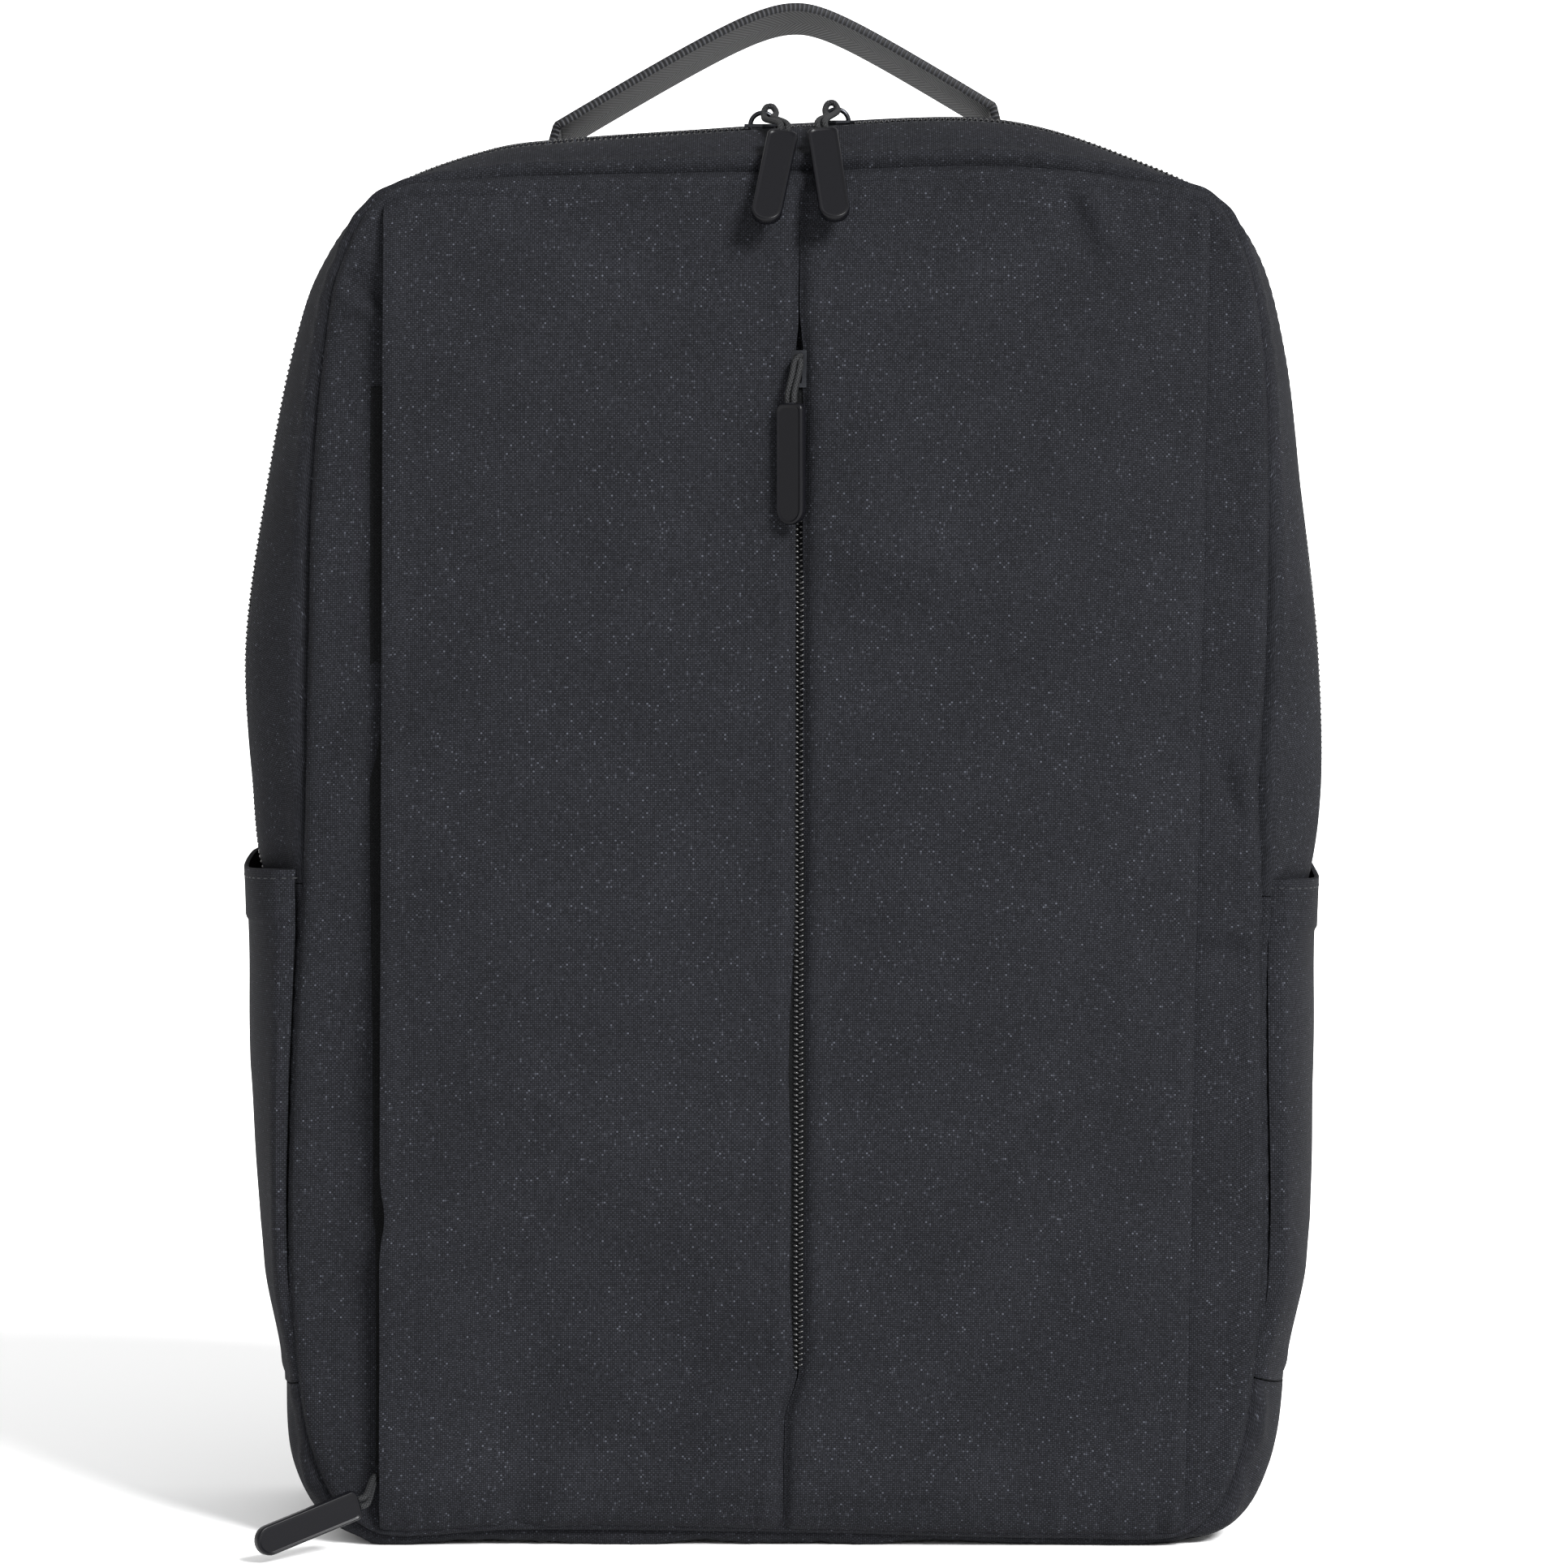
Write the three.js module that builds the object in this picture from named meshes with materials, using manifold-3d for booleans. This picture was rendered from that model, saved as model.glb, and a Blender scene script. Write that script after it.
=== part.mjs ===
// Laptop backpack, standing on its base. Millimetres, +Z up, the front faces -Y.
import * as THREE from 'three';
import Module from 'manifold-3d';
import * as BufferGeometryUtils from 'three/addons/utils/BufferGeometryUtils.js';

const manifold = await Module();
manifold.setup();

// Body
const halfWidth = 163; // widest half of the body
const bodyHeight = 422; // highest point of the cloth body
const baseDepth = 122; // front seam to back seam at the base
const crownDepth = 104; // the same at the top
const backY = 61; // the back seam stands in this plane
const backNarrowing = 0.985; // width of the back seam as a share of the side wall's
const backTuck = 0.965; // height of the back seam as a share of the side wall's
const backFoot = 4; // the back seam's lowest point above the ground
const frontBulge = 8; // how far the front panel swells past its seam
const backBulge = 3;
const swellWidth = 0.885; // share of halfWidth where a panel's swelling ends
const swellHeight = 0.965; // the same, up and down from the middle
const seamGap = 0.3; // clearance left between pieces sewn edge to edge

// Walls
const clothWall = 1.6;
const overlayWall = 1.3;
const pocketWall = 1.4;
const backPadding = 6;
const baseWall = 2.4;

// Front overlay, which is the front pocket's outer panel
const leftEdgeLift = 4.6; // the left edge stands open over the side zip
const rightEdgeLift = 1.0;
const overlayRise = 4.8; // room in the middle of each half
const overlayCentreRise = 4.2; // room behind the centre zip
const overlayFootEase = 0.03; // share of the height over which the base seam closes the room
const overlayHeadEase = 0.1;
const slitWidth = 1.2; // between the two halves
const zipLineOffset = 4.4; // the centre zip runs this far right of the base's middle
const zipLineBend = { from: 0.09, to: 0.13 }; // shares of the height where it bends aside
const centreZipLowHeight = 52; // of the centre zip's lower end
const centreZipTopDrop = 60; // its upper end lies this far below the top

// Zips
const zipTapeWidth = 11;
const zipTapeWall = 1.0;
const zipRecess = 0.7; // the tape lies this far under the cloth
const mainZipDepth = 0.31; // share of the depth where the main zip runs

// Side pockets
const pocketBackEdge = 0.93; // share of the depth

// Carry handle
const handleWidth = 22;
const handleWall = 2.6;
const handleRise = 37.4; // above its roots
const handleDepth = 0.865; // share of the depth where it is sewn on
const handleTilt = THREE.MathUtils.degToRad(20); // its front edge stands higher
const handlePeakShift = 4;
const handleRootGap = 0.25; // over the cloth
const handleRounding = 0.2; // how round the peak is, as a share of half the span

// Shoulder straps
const padLength = 236;
const padWidthTop = 62;
const padWidthFoot = 50;
const padWall = 8;
const padTopOffset = 50; // from the middle of the back
const padFootInset = 71; // from the widest half
const padTopDrop = 28; // below the top
const strapBow = 24; // how far the pads stand off the back
const webWidth = 25;
const webWall = 1.6;
const webFootInset = 41; // from the widest half
const webFootHeight = 26;
const lockWidth = 32; // ladder lock
const lockHeight = 24;
const lockWall = 4;
const lockBar = 4;

// Zip pulls
const tabLength = 35.6;
const tabWidth = 9;
const tabWall = 3;
const tabRounding = 0.6;
const cordDiameter = 1.7;
const cordSpread = 2.2; // between the two strands where they enter the tab
const sliderLength = 11;
const sliderWidth = 7.5;
const sliderWall = 3.2;
const lowSliderWall = 2.4; // the side zip's slider, which has no bail
const bailRadius = 4.4; // outer radius of the slider's wire bail
const bailWire = 1.5;
const centrePullDrop = 59; // the slider's middle lies this far below the top
const topTabReach = 27; // from a top slider forward to the top of its tab
const topTabForward = 24.3; // how far forward the tab's end lies from its top
const topTabDown = 26;
const centreCordLength = 10.4;
const centreTabShift = -2.5; // the tab hangs this far off the zip line
const centreTabTurn = THREE.MathUtils.degToRad(33.5); // about its length
const tabStandOff = 4.8; // from the overlay to the middle of the turned tab
const sidePullHeight = 17;

// The two pulls on top: the slider's row on the outline, where the tab's top lies from the
// middle, how far the tab leans aside, and how high its top lies over the zip
const topPulls = [
  { word: 'left', row: -0.155, tabX: 0, lean: -5.6, lift: -0.2 },
  { word: 'right', row: 0.17, tabX: 11.5, lean: 4.1, lift: -0.45 },
];

// Colours
const cloth = { color: 0x2a2b2f, roughness: 0.9, metalness: 0 };
const webbing = { color: 0x1f2023, roughness: 0.85, metalness: 0 };
const plastic = { color: 0x1a1b1e, roughness: 0.4, metalness: 0 };
const metal = { color: 0x55565a, roughness: 0.35, metalness: 1 };

// The body's outline seen from the front, clockwise from the top middle. Each row is one place
// on it: front is the front seam and side is the wall behind it, as shares of halfWidth and
// bodyHeight, and turn is the share of the depth in which the wall turns from seam to side.
const outline = [
  { place: 'top middle', frontX: 0.03, frontZ: 0.966, sideX: 0.03, sideZ: 0.995, turn: 0.28 },
  { place: 'handle root right', frontX: 0.427, frontZ: 0.969, sideX: 0.41, sideZ: 0.998, turn: 0.28 },
  { place: 'top right', frontX: 0.675, frontZ: 0.958, sideX: 0.64, sideZ: 0.972, turn: 0.28 },
  { place: 'top right corner', frontX: 0.774, frontZ: 0.948, sideX: 0.8, sideZ: 0.941, turn: 0.28 },
  { place: 'right shoulder', frontX: 0.836, frontZ: 0.911, sideX: 0.868, sideZ: 0.905, turn: 0.3 },
  { place: 'right under shoulder', frontX: 0.871, frontZ: 0.843, sideX: 0.918, sideZ: 0.837, turn: 0.31 },
  { place: 'right upper', frontX: 0.882, frontZ: 0.745, sideX: 0.95, sideZ: 0.74, turn: 0.31 },
  { place: 'right waist top', frontX: 0.878, frontZ: 0.631, sideX: 0.984, sideZ: 0.624, turn: 0.31 },
  { place: 'right widest', frontX: 0.865, frontZ: 0.533, sideX: 0.988, sideZ: 0.525, turn: 0.31 },
  { place: 'right at hem', frontX: 0.87, frontZ: 0.47, sideX: 0.966, sideZ: 0.466, turn: 0.31 },
  { place: 'right under hem', frontX: 0.872, frontZ: 0.412, sideX: 0.915, sideZ: 0.41, turn: 0.31 },
  { place: 'right lower', frontX: 0.874, frontZ: 0.333, sideX: 0.91, sideZ: 0.33, turn: 0.31 },
  { place: 'right low', frontX: 0.879, frontZ: 0.223, sideX: 0.906, sideZ: 0.22, turn: 0.28 },
  { place: 'right base seam', frontX: 0.861, frontZ: 0.13, sideX: 0.921, sideZ: 0.12, turn: 0.26 },
  { place: 'right foot', frontX: 0.831, frontZ: 0.062, sideX: 0.887, sideZ: 0.048, turn: 0.22 },
  { place: 'right foot turn', frontX: 0.79, frontZ: 0.026, sideX: 0.826, sideZ: 0.012, turn: 0.15 },
  { place: 'base right corner', frontX: 0.73, frontZ: 0.008, sideX: 0.73, sideZ: 0, turn: 0.1 },
  { place: 'base right', frontX: 0.496, frontZ: 0.005, sideX: 0.5, sideZ: 0, turn: 0.1 },
  { place: 'base middle', frontX: 0, frontZ: 0.009, sideX: 0, sideZ: 0, turn: 0.1 },
  { place: 'base left', frontX: -0.485, frontZ: 0.011, sideX: -0.5, sideZ: 0, turn: 0.1 },
  { place: 'base left corner', frontX: -0.735, frontZ: 0.009, sideX: -0.735, sideZ: 0, turn: 0.1 },
  { place: 'left foot turn', frontX: -0.805, frontZ: 0.026, sideX: -0.83, sideZ: 0.012, turn: 0.15 },
  { place: 'left foot', frontX: -0.856, frontZ: 0.062, sideX: -0.897, sideZ: 0.05, turn: 0.22 },
  { place: 'left base seam', frontX: -0.887, frontZ: 0.126, sideX: -0.916, sideZ: 0.12, turn: 0.26 },
  { place: 'left low', frontX: -0.901, frontZ: 0.226, sideX: -0.908, sideZ: 0.22, turn: 0.28 },
  { place: 'left lower', frontX: -0.893, frontZ: 0.333, sideX: -0.912, sideZ: 0.33, turn: 0.31 },
  { place: 'left under hem', frontX: -0.879, frontZ: 0.43, sideX: -0.915, sideZ: 0.427, turn: 0.31 },
  { place: 'left at hem', frontX: -0.8725, frontZ: 0.477, sideX: -0.96, sideZ: 0.473, turn: 0.31 },
  { place: 'left widest', frontX: -0.868, frontZ: 0.54, sideX: -0.976, sideZ: 0.535, turn: 0.31 },
  { place: 'left waist top', frontX: -0.863, frontZ: 0.631, sideX: -0.988, sideZ: 0.624, turn: 0.31 },
  { place: 'left upper', frontX: -0.855, frontZ: 0.745, sideX: -0.948, sideZ: 0.74, turn: 0.31 },
  { place: 'left under shoulder', frontX: -0.831, frontZ: 0.845, sideX: -0.896, sideZ: 0.84, turn: 0.31 },
  { place: 'left shoulder', frontX: -0.804, frontZ: 0.899, sideX: -0.846, sideZ: 0.894, turn: 0.3 },
  { place: 'top left corner', frontX: -0.723, frontZ: 0.95, sideX: -0.748, sideZ: 0.944, turn: 0.28 },
  { place: 'top left', frontX: -0.545, frontZ: 0.961, sideX: -0.545, sideZ: 0.977, turn: 0.28 },
  { place: 'handle root left', frontX: -0.4, frontZ: 0.963, sideX: -0.4, sideZ: 0.985, turn: 0.28 },
];

// The middle of each side pocket's face at the places that it covers, as a share of halfWidth
const pocketFace = {
  'right widest': 0.98,
  'right at hem': 0.98,
  'right under hem': 0.981,
  'right lower': 0.98,
  'right low': 0.975,
  'right base seam': 0.948,
  'right foot': 0.9,
  'left foot': -0.905,
  'left base seam': -0.938,
  'left low': -0.967,
  'left lower': -0.985,
  'left under hem': -0.988,
  'left at hem': -0.988,
  'left widest': -0.988,
};

const rowCount = outline.length;
const topRightCorner = rowOf('top right corner');
const topLeftCorner = rowOf('top left corner');
const baseRightCorner = rowOf('base right corner');
const baseLeftCorner = rowOf('base left corner');
const baseMiddle = rowOf('base middle');
const baseSeamRight = rowOf('right base seam') + 0.15;
const baseSeamLeft = rowOf('left base seam') - 0.15;
const hemRight = rowOf('right at hem');
const hemLeft = rowOf('left at hem');
const zipEndRight = hemRight + 0.2; // the main zip ends just inside the pockets' mouths
const zipEndLeft = hemLeft - 0.2;

const frontSeam = closedCurve('frontX', 'frontZ');
const sideWall = closedCurve('sideX', 'sideZ');

function rowOf(place) {
  return outline.findIndex((row) => row.place === place);
}

function closedCurve(across, up) {
  const points = outline.map((row) => new THREE.Vector3(row[across] * halfWidth, 0, row[up] * bodyHeight));
  return new THREE.CatmullRomCurve3(points, true, 'centripetal');
}

// A row number may lie between two places, and may run past the top middle.
function curveAt(curve, row) {
  const share = (((row / rowCount) % 1) + 1) % 1;
  return curve.getPoint(share);
}

// A value that valueOf reads from a row, between two rows
function between(row, valueOf) {
  const whole = Math.floor(row);
  const first = outline[((whole % rowCount) + rowCount) % rowCount];
  const next = outline[(((whole + 1) % rowCount) + rowCount) % rowCount];
  return THREE.MathUtils.lerp(valueOf(first), valueOf(next), row - whole);
}

function depthAt(z) {
  return THREE.MathUtils.lerp(baseDepth, crownDepth, THREE.MathUtils.clamp(z / bodyHeight, 0, 1));
}

// A point of the wall between front and back panels. depth is 0 at the front seam, 1 at the back.
function bodyPoint(row, depth) {
  const front = curveAt(frontSeam, row);
  const side = curveAt(sideWall, row);
  const back = new THREE.Vector3(side.x * backNarrowing, 0, backFoot + side.z * backTuck);
  const turn = between(row, (entry) => entry.turn);
  const toFront = Math.max(0, 1 - depth / turn) ** 2;
  const toBack = Math.max(0, 1 - (1 - depth) / turn) ** 2;
  const point = side.clone();
  point.addScaledVector(front.sub(side), toFront);
  point.addScaledVector(back.sub(side), toBack);
  point.z = Math.max(0, point.z);
  point.y = backY - depthAt(point.z) * (1 - depth);
  return point;
}

// Share of the depth that a length takes up at a row.
function depthShare(length, row) {
  return length / depthAt(curveAt(sideWall, row).z);
}

// 1 in the middle of a panel and 0 at its seams.
function pillow(x, z) {
  const middle = bodyHeight / 2;
  const across = 1 - Math.abs(x / (halfWidth * swellWidth)) ** 3;
  const up = 1 - Math.abs((z - middle) / (middle * swellHeight)) ** 4;
  return Math.max(0, across) * Math.max(0, up);
}

function frontSurfaceY(x, z) {
  return backY - depthAt(z) - frontBulge * pillow(x, z);
}

function backSurfaceY(x, z) {
  return backY + backBulge * pillow(x, z);
}

// A patch stretched between four edges of an outline, given the two rows at which its bottom,
// top and side edges start and end.
function patchPoint(edgeAt, across, up) {
  const bottom = edgeAt(THREE.MathUtils.lerp(baseLeftCorner, baseRightCorner, across));
  const top = edgeAt(THREE.MathUtils.lerp(topLeftCorner, topRightCorner + rowCount, across));
  const left = edgeAt(THREE.MathUtils.lerp(baseLeftCorner, topLeftCorner, up));
  const right = edgeAt(THREE.MathUtils.lerp(baseRightCorner, topRightCorner, up));
  const corners = new THREE.Vector3();
  corners.addScaledVector(edgeAt(baseLeftCorner), (1 - across) * (1 - up));
  corners.addScaledVector(edgeAt(baseRightCorner), across * (1 - up));
  corners.addScaledVector(edgeAt(topLeftCorner), (1 - across) * up);
  corners.addScaledVector(edgeAt(topRightCorner), across * up);
  const point = new THREE.Vector3();
  point.addScaledVector(bottom, 1 - up).addScaledVector(top, up);
  point.addScaledVector(left, 1 - across).addScaledVector(right, across);
  return point.sub(corners);
}

// A closed sheet of cloth. outerAt(s, t) gives its outer face for s and t from 0 to 1, and the
// wall grows from there towards the point inside, square to the face.
function sheet(outerAt, columns, rows, wall, inside) {
  const step = 1e-3;
  const outer = [];
  const inner = [];
  for (let j = 0; j <= rows; j += 1) {
    for (let i = 0; i <= columns; i += 1) {
      const s = i / columns;
      const t = j / rows;
      const point = outerAt(s, t);
      const alongS = outerAt(Math.min(1, s + step), t).sub(outerAt(Math.max(0, s - step), t));
      const alongT = outerAt(s, Math.min(1, t + step)).sub(outerAt(s, Math.max(0, t - step)));
      const normal = alongS.cross(alongT).normalize();
      const inwards = inside.clone().sub(point);
      if (normal.dot(inwards) < 0) {
        normal.negate();
      }
      outer.push(point);
      inner.push(point.clone().addScaledVector(normal, wall));
    }
  }
  return closedGrid(outer, inner, columns, rows);
}

function closedGrid(outer, inner, columns, rows) {
  const width = columns + 1;
  const far = outer.length;
  const triangles = [];
  const quad = (a, b, c, d) => triangles.push(a, b, c, a, c, d);
  for (let j = 0; j < rows; j += 1) {
    for (let i = 0; i < columns; i += 1) {
      const a = j * width + i;
      quad(a, a + 1, a + width + 1, a + width);
      quad(far + a, far + a + width, far + a + width + 1, far + a + 1);
    }
  }
  const rim = [];
  for (let i = 0; i < columns; i += 1) {
    rim.push(i);
  }
  for (let j = 0; j < rows; j += 1) {
    rim.push(j * width + columns);
  }
  for (let i = columns; i > 0; i -= 1) {
    rim.push(rows * width + i);
  }
  for (let j = rows; j > 0; j -= 1) {
    rim.push(j * width);
  }
  rim.forEach((a, index) => {
    const b = rim[(index + 1) % rim.length];
    quad(a, far + a, far + b, b);
  });
  const geometry = new THREE.BufferGeometry();
  const positions = outer.concat(inner).flatMap((point) => [point.x, point.y, point.z]);
  geometry.setAttribute('position', new THREE.Float32BufferAttribute(positions, 3));
  geometry.setIndex(triangles);
  return facingOut(geometry);
}

function facingOut(geometry) {
  const position = geometry.getAttribute('position');
  const index = geometry.getIndex();
  const corner = [new THREE.Vector3(), new THREE.Vector3(), new THREE.Vector3()];
  let volume = 0;
  for (let i = 0; i < index.count; i += 3) {
    corner.forEach((point, k) => point.fromBufferAttribute(position, index.getX(i + k)));
    volume += corner[0].dot(corner[1].clone().cross(corner[2]));
  }
  if (volume < 0) {
    for (let i = 0; i < index.count; i += 3) {
      const first = index.getX(i);
      index.setX(i, index.getX(i + 2));
      index.setX(i + 2, first);
    }
  }
  return geometry;
}

function piece(name, geometry, finish) {
  const mesh = new THREE.Mesh(geometry, new THREE.MeshStandardMaterial(finish));
  mesh.name = name;
  return mesh;
}

const middleOfBag = new THREE.Vector3(0, 0, bodyHeight / 2);

// Where the wall's strips start and end, as shares of the depth at a row
const frontStart = (row) => depthShare(clothWall + seamGap, row);
const backEnd = (row) => 1 - depthShare(backPadding + seamGap, row);
const zipEdge = (side, room) => (row) => mainZipDepth + side * depthShare(zipTapeWidth / 2 + room, row);

// Body panels
function frontPanel() {
  const outerAt = (s, t) => {
    const point = patchPoint((row) => curveAt(frontSeam, row), s, t);
    point.y = frontSurfaceY(point.x, point.z);
    return point;
  };
  return piece('front_panel', sheet(outerAt, 14, 15, clothWall, middleOfBag), cloth);
}

function backPanel() {
  const outerAt = (s, t) => {
    const point = patchPoint((row) => bodyPoint(row, 1), s, t);
    point.y = backSurfaceY(point.x, point.z);
    return point;
  };
  return piece('back_panel', sheet(outerAt, 10, 13, backPadding, middleOfBag), cloth);
}

// A strip of the wall between two rows and two depths.
function wallStrip(name, rows, depths, cells, wall, finish = cloth, sunk = 0) {
  const outerAt = (s, t) => {
    const row = THREE.MathUtils.lerp(rows.from, rows.to, s);
    const point = bodyPoint(row, THREE.MathUtils.lerp(depths.from(row), depths.to(row), t));
    if (sunk > 0) {
      const core = new THREE.Vector3(0, point.y, bodyHeight * 0.6);
      point.addScaledVector(core.sub(point).normalize(), sunk);
    }
    return point;
  };
  return piece(name, sheet(outerAt, cells.long, cells.deep, wall, middleOfBag), finish);
}

function gussets() {
  const overTop = { from: zipEndLeft, to: zipEndRight + rowCount };
  const front = { from: frontStart, to: zipEdge(-1, seamGap) };
  const rear = { from: zipEdge(1, seamGap), to: backEnd };
  const tape = { from: zipEdge(-1, 0), to: zipEdge(1, 0) };
  return [
    wallStrip('gusset_front', overTop, front, { long: 44, deep: 3 }, clothWall),
    wallStrip('gusset_rear', overTop, rear, { long: 44, deep: 5 }, clothWall),
    wallStrip('main_zip', overTop, tape, { long: 44, deep: 1 }, zipTapeWall, webbing, zipRecess),
  ];
}

function sidePanels() {
  const depths = { from: frontStart, to: backEnd };
  const seamRows = 0.02;
  const right = { from: zipEndRight + seamRows, to: baseSeamRight - seamRows };
  const left = { from: baseSeamLeft + seamRows, to: zipEndLeft - seamRows };
  return [
    wallStrip('side_panel_right', right, depths, { long: 9, deep: 8 }, clothWall),
    wallStrip('side_panel_left', left, depths, { long: 9, deep: 8 }, clothWall),
  ];
}

function basePanel() {
  const rows = { from: baseSeamRight, to: baseSeamLeft };
  const depths = { from: frontStart, to: backEnd };
  return wallStrip('base_panel', rows, depths, { long: 27, deep: 9 }, baseWall);
}

// Front overlay
function zipLineX(z) {
  return zipLineOffset * THREE.MathUtils.smoothstep(z / bodyHeight, zipLineBend.from, zipLineBend.to);
}

// Room between the front panel and an overlay half: edge is 0 at its outer edge, 1 at the zip.
function overlayRoom(edge, up, edgeLift) {
  const ends = Math.min(1, up / overlayFootEase) * Math.min(1, (1 - up) / overlayHeadEase);
  const swell = overlayRise * Math.sin(Math.PI * edge) ** 0.8 * Math.sin(Math.PI * up) ** 0.6;
  const rims = edgeLift * (1 - edge) ** 2 + overlayCentreRise * edge ** 2;
  return seamGap * 1.5 + ends * (rims + swell);
}

function overlayPoint(side, edge, up, lift) {
  const topEnd = side > 0 ? topRightCorner + rowCount : topLeftCorner;
  const baseEnd = side > 0 ? baseRightCorner : baseLeftCorner;
  const inset = 0.004;
  const share = THREE.MathUtils.lerp(inset, 1 - inset, up);
  const top = curveAt(frontSeam, THREE.MathUtils.lerp(topEnd, rowCount, edge));
  const base = curveAt(frontSeam, THREE.MathUtils.lerp(baseEnd, baseMiddle, edge));
  const point = base.lerp(top, share);
  const along = edge ** 3;
  point.x += along * (zipLineX(point.z) * (1 - share) + (side * slitWidth) / 2);
  const edgeLift = side > 0 ? rightEdgeLift : leftEdgeLift;
  point.y = frontSurfaceY(point.x, point.z) - overlayRoom(edge, up, edgeLift) - lift;
  return point;
}

// Rows set closer together towards both ends
function closerAtEnds(t) {
  const crowding = 0.55;
  return t - (crowding * Math.sin(2 * Math.PI * t)) / (2 * Math.PI);
}

function overlays() {
  return [-1, 1].map((side) => {
    const outerAt = (s, t) => overlayPoint(side, s, closerAtEnds(t), overlayWall);
    const name = side > 0 ? 'overlay_right' : 'overlay_left';
    return piece(name, sheet(outerAt, 8, 15, overlayWall, middleOfBag), cloth);
  });
}

function centreZip() {
  const outerAt = (s, t) => {
    const up = THREE.MathUtils.lerp(centreZipLowHeight, bodyHeight - centreZipTopDrop, t) / bodyHeight;
    const middle = overlayPoint(-1, 1, up, 0);
    const x = middle.x + slitWidth / 2 + (s - 0.5) * zipTapeWidth;
    return new THREE.Vector3(x, middle.y + zipRecess, middle.z);
  };
  return piece('centre_zip', sheet(outerAt, 2, 14, zipTapeWall, middleOfBag), webbing);
}

function sideZip() {
  const footShare = 0.05;
  const headShare = 0.86;
  const outerAt = (s, t) => {
    const up = THREE.MathUtils.lerp(footShare, headShare, t);
    const edge = overlayPoint(-1, 0, up, 0);
    const x = edge.x + s * zipTapeWidth;
    return new THREE.Vector3(x, frontSurfaceY(x, edge.z) - seamGap - zipTapeWall, edge.z);
  };
  return piece('side_zip', sheet(outerAt, 1, 14, zipTapeWall, middleOfBag), webbing);
}

// Side pockets: open at the hem, sewn down at the base seam and both edges.
function sidePocket(name, rows) {
  const outerAt = (s, t) => {
    const row = THREE.MathUtils.lerp(rows.from, rows.to, t);
    const depth = THREE.MathUtils.lerp(frontStart(row), pocketBackEdge, s);
    const point = bodyPoint(row, depth);
    const side = Math.sign(point.x);
    const sewn = Math.abs(point.x) + pocketWall + seamGap * 2;
    const face = between(row, (entry) => pocketFace[entry.place] ?? 0);
    const open = Math.max(sewn, Math.abs(face) * halfWidth);
    const belly = Math.sin(Math.PI * s) ** 0.5;
    point.x = side * THREE.MathUtils.lerp(sewn, open, belly);
    return point;
  };
  return piece(name, sheet(outerAt, 10, 10, pocketWall, middleOfBag), cloth);
}

function sidePockets() {
  const seamRows = 0.04;
  const left = { from: baseSeamLeft + seamRows, to: hemLeft };
  const right = { from: baseSeamRight - seamRows, to: hemRight };
  return [sidePocket('side_pocket_left', left), sidePocket('side_pocket_right', right)];
}

// Carry handle: a webbing arch between two roots on the top's rear slope.
function carryHandle() {
  const left = bodyPoint(rowOf('handle root left') - 0.26, handleDepth);
  const right = bodyPoint(rowOf('handle root right'), handleDepth);
  const rounded = (share) => Math.sqrt(share * share + handleRounding ** 2) - handleRounding;
  const outerAt = (s, t) => {
    const run = 2 * s - 1;
    const root = run < 0 ? left : right;
    const x = THREE.MathUtils.lerp(handlePeakShift, root.x, Math.abs(run));
    const peak = (left.z + right.z) / 2 + handleRise;
    const z = THREE.MathUtils.lerp(peak, root.z + handleWall + handleRootGap, rounded(run) / rounded(1));
    const across = (t - 0.5) * handleWidth;
    const y = root.y + across * Math.cos(handleTilt);
    return new THREE.Vector3(x, y, z - across * Math.sin(handleTilt));
  };
  return piece('carry_handle', sheet(outerAt, 26, 2, handleWall, middleOfBag), webbing);
}

// Shoulder straps: a pad, a ladder lock at its foot and the webbing below.
function strapLine(side, share) {
  const ease = THREE.MathUtils.smoothstep(share, 0, 1);
  const x = side * THREE.MathUtils.lerp(padTopOffset, halfWidth - padFootInset, ease);
  const z = bodyHeight - padTopDrop - padLength * share;
  const bow = strapBow * Math.sin(Math.PI * Math.min(1, share * 0.82)) ** 1.2;
  const y = backSurfaceY(x, z) + padWall + seamGap * 2 + bow;
  return new THREE.Vector3(x, y, z);
}

function shoulderPad(side, name) {
  const outerAt = (s, t) => {
    const point = strapLine(side, t);
    const width = THREE.MathUtils.lerp(padWidthTop, padWidthFoot, t);
    point.x += (s - 0.5) * width;
    return point;
  };
  return piece(name, sheet(outerAt, 3, 18, padWall, middleOfBag), cloth);
}

function ladderLock(side, name) {
  const shape = new THREE.Shape();
  const halfLock = lockWidth / 2;
  shape.moveTo(-halfLock, 0);
  shape.lineTo(-halfLock, -lockHeight);
  shape.lineTo(halfLock, -lockHeight);
  shape.lineTo(halfLock, 0);
  shape.closePath();
  const slotHeight = (lockHeight - 3 * lockBar) / 2;
  [0, 1].forEach((slot) => {
    const top = -lockBar - slot * (slotHeight + lockBar);
    const hole = new THREE.Path();
    hole.moveTo(-halfLock + lockBar, top);
    hole.lineTo(halfLock - lockBar, top);
    hole.lineTo(halfLock - lockBar, top - slotHeight);
    hole.lineTo(-halfLock + lockBar, top - slotHeight);
    hole.closePath();
    shape.holes.push(hole);
  });
  const geometry = new THREE.ExtrudeGeometry(shape, { depth: lockWall, bevelEnabled: false });
  const mesh = piece(name, geometry, plastic);
  const foot = strapLine(side, 1);
  mesh.rotation.x = Math.PI / 2;
  mesh.position.set(foot.x, foot.y, foot.z - seamGap);
  return mesh;
}

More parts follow.
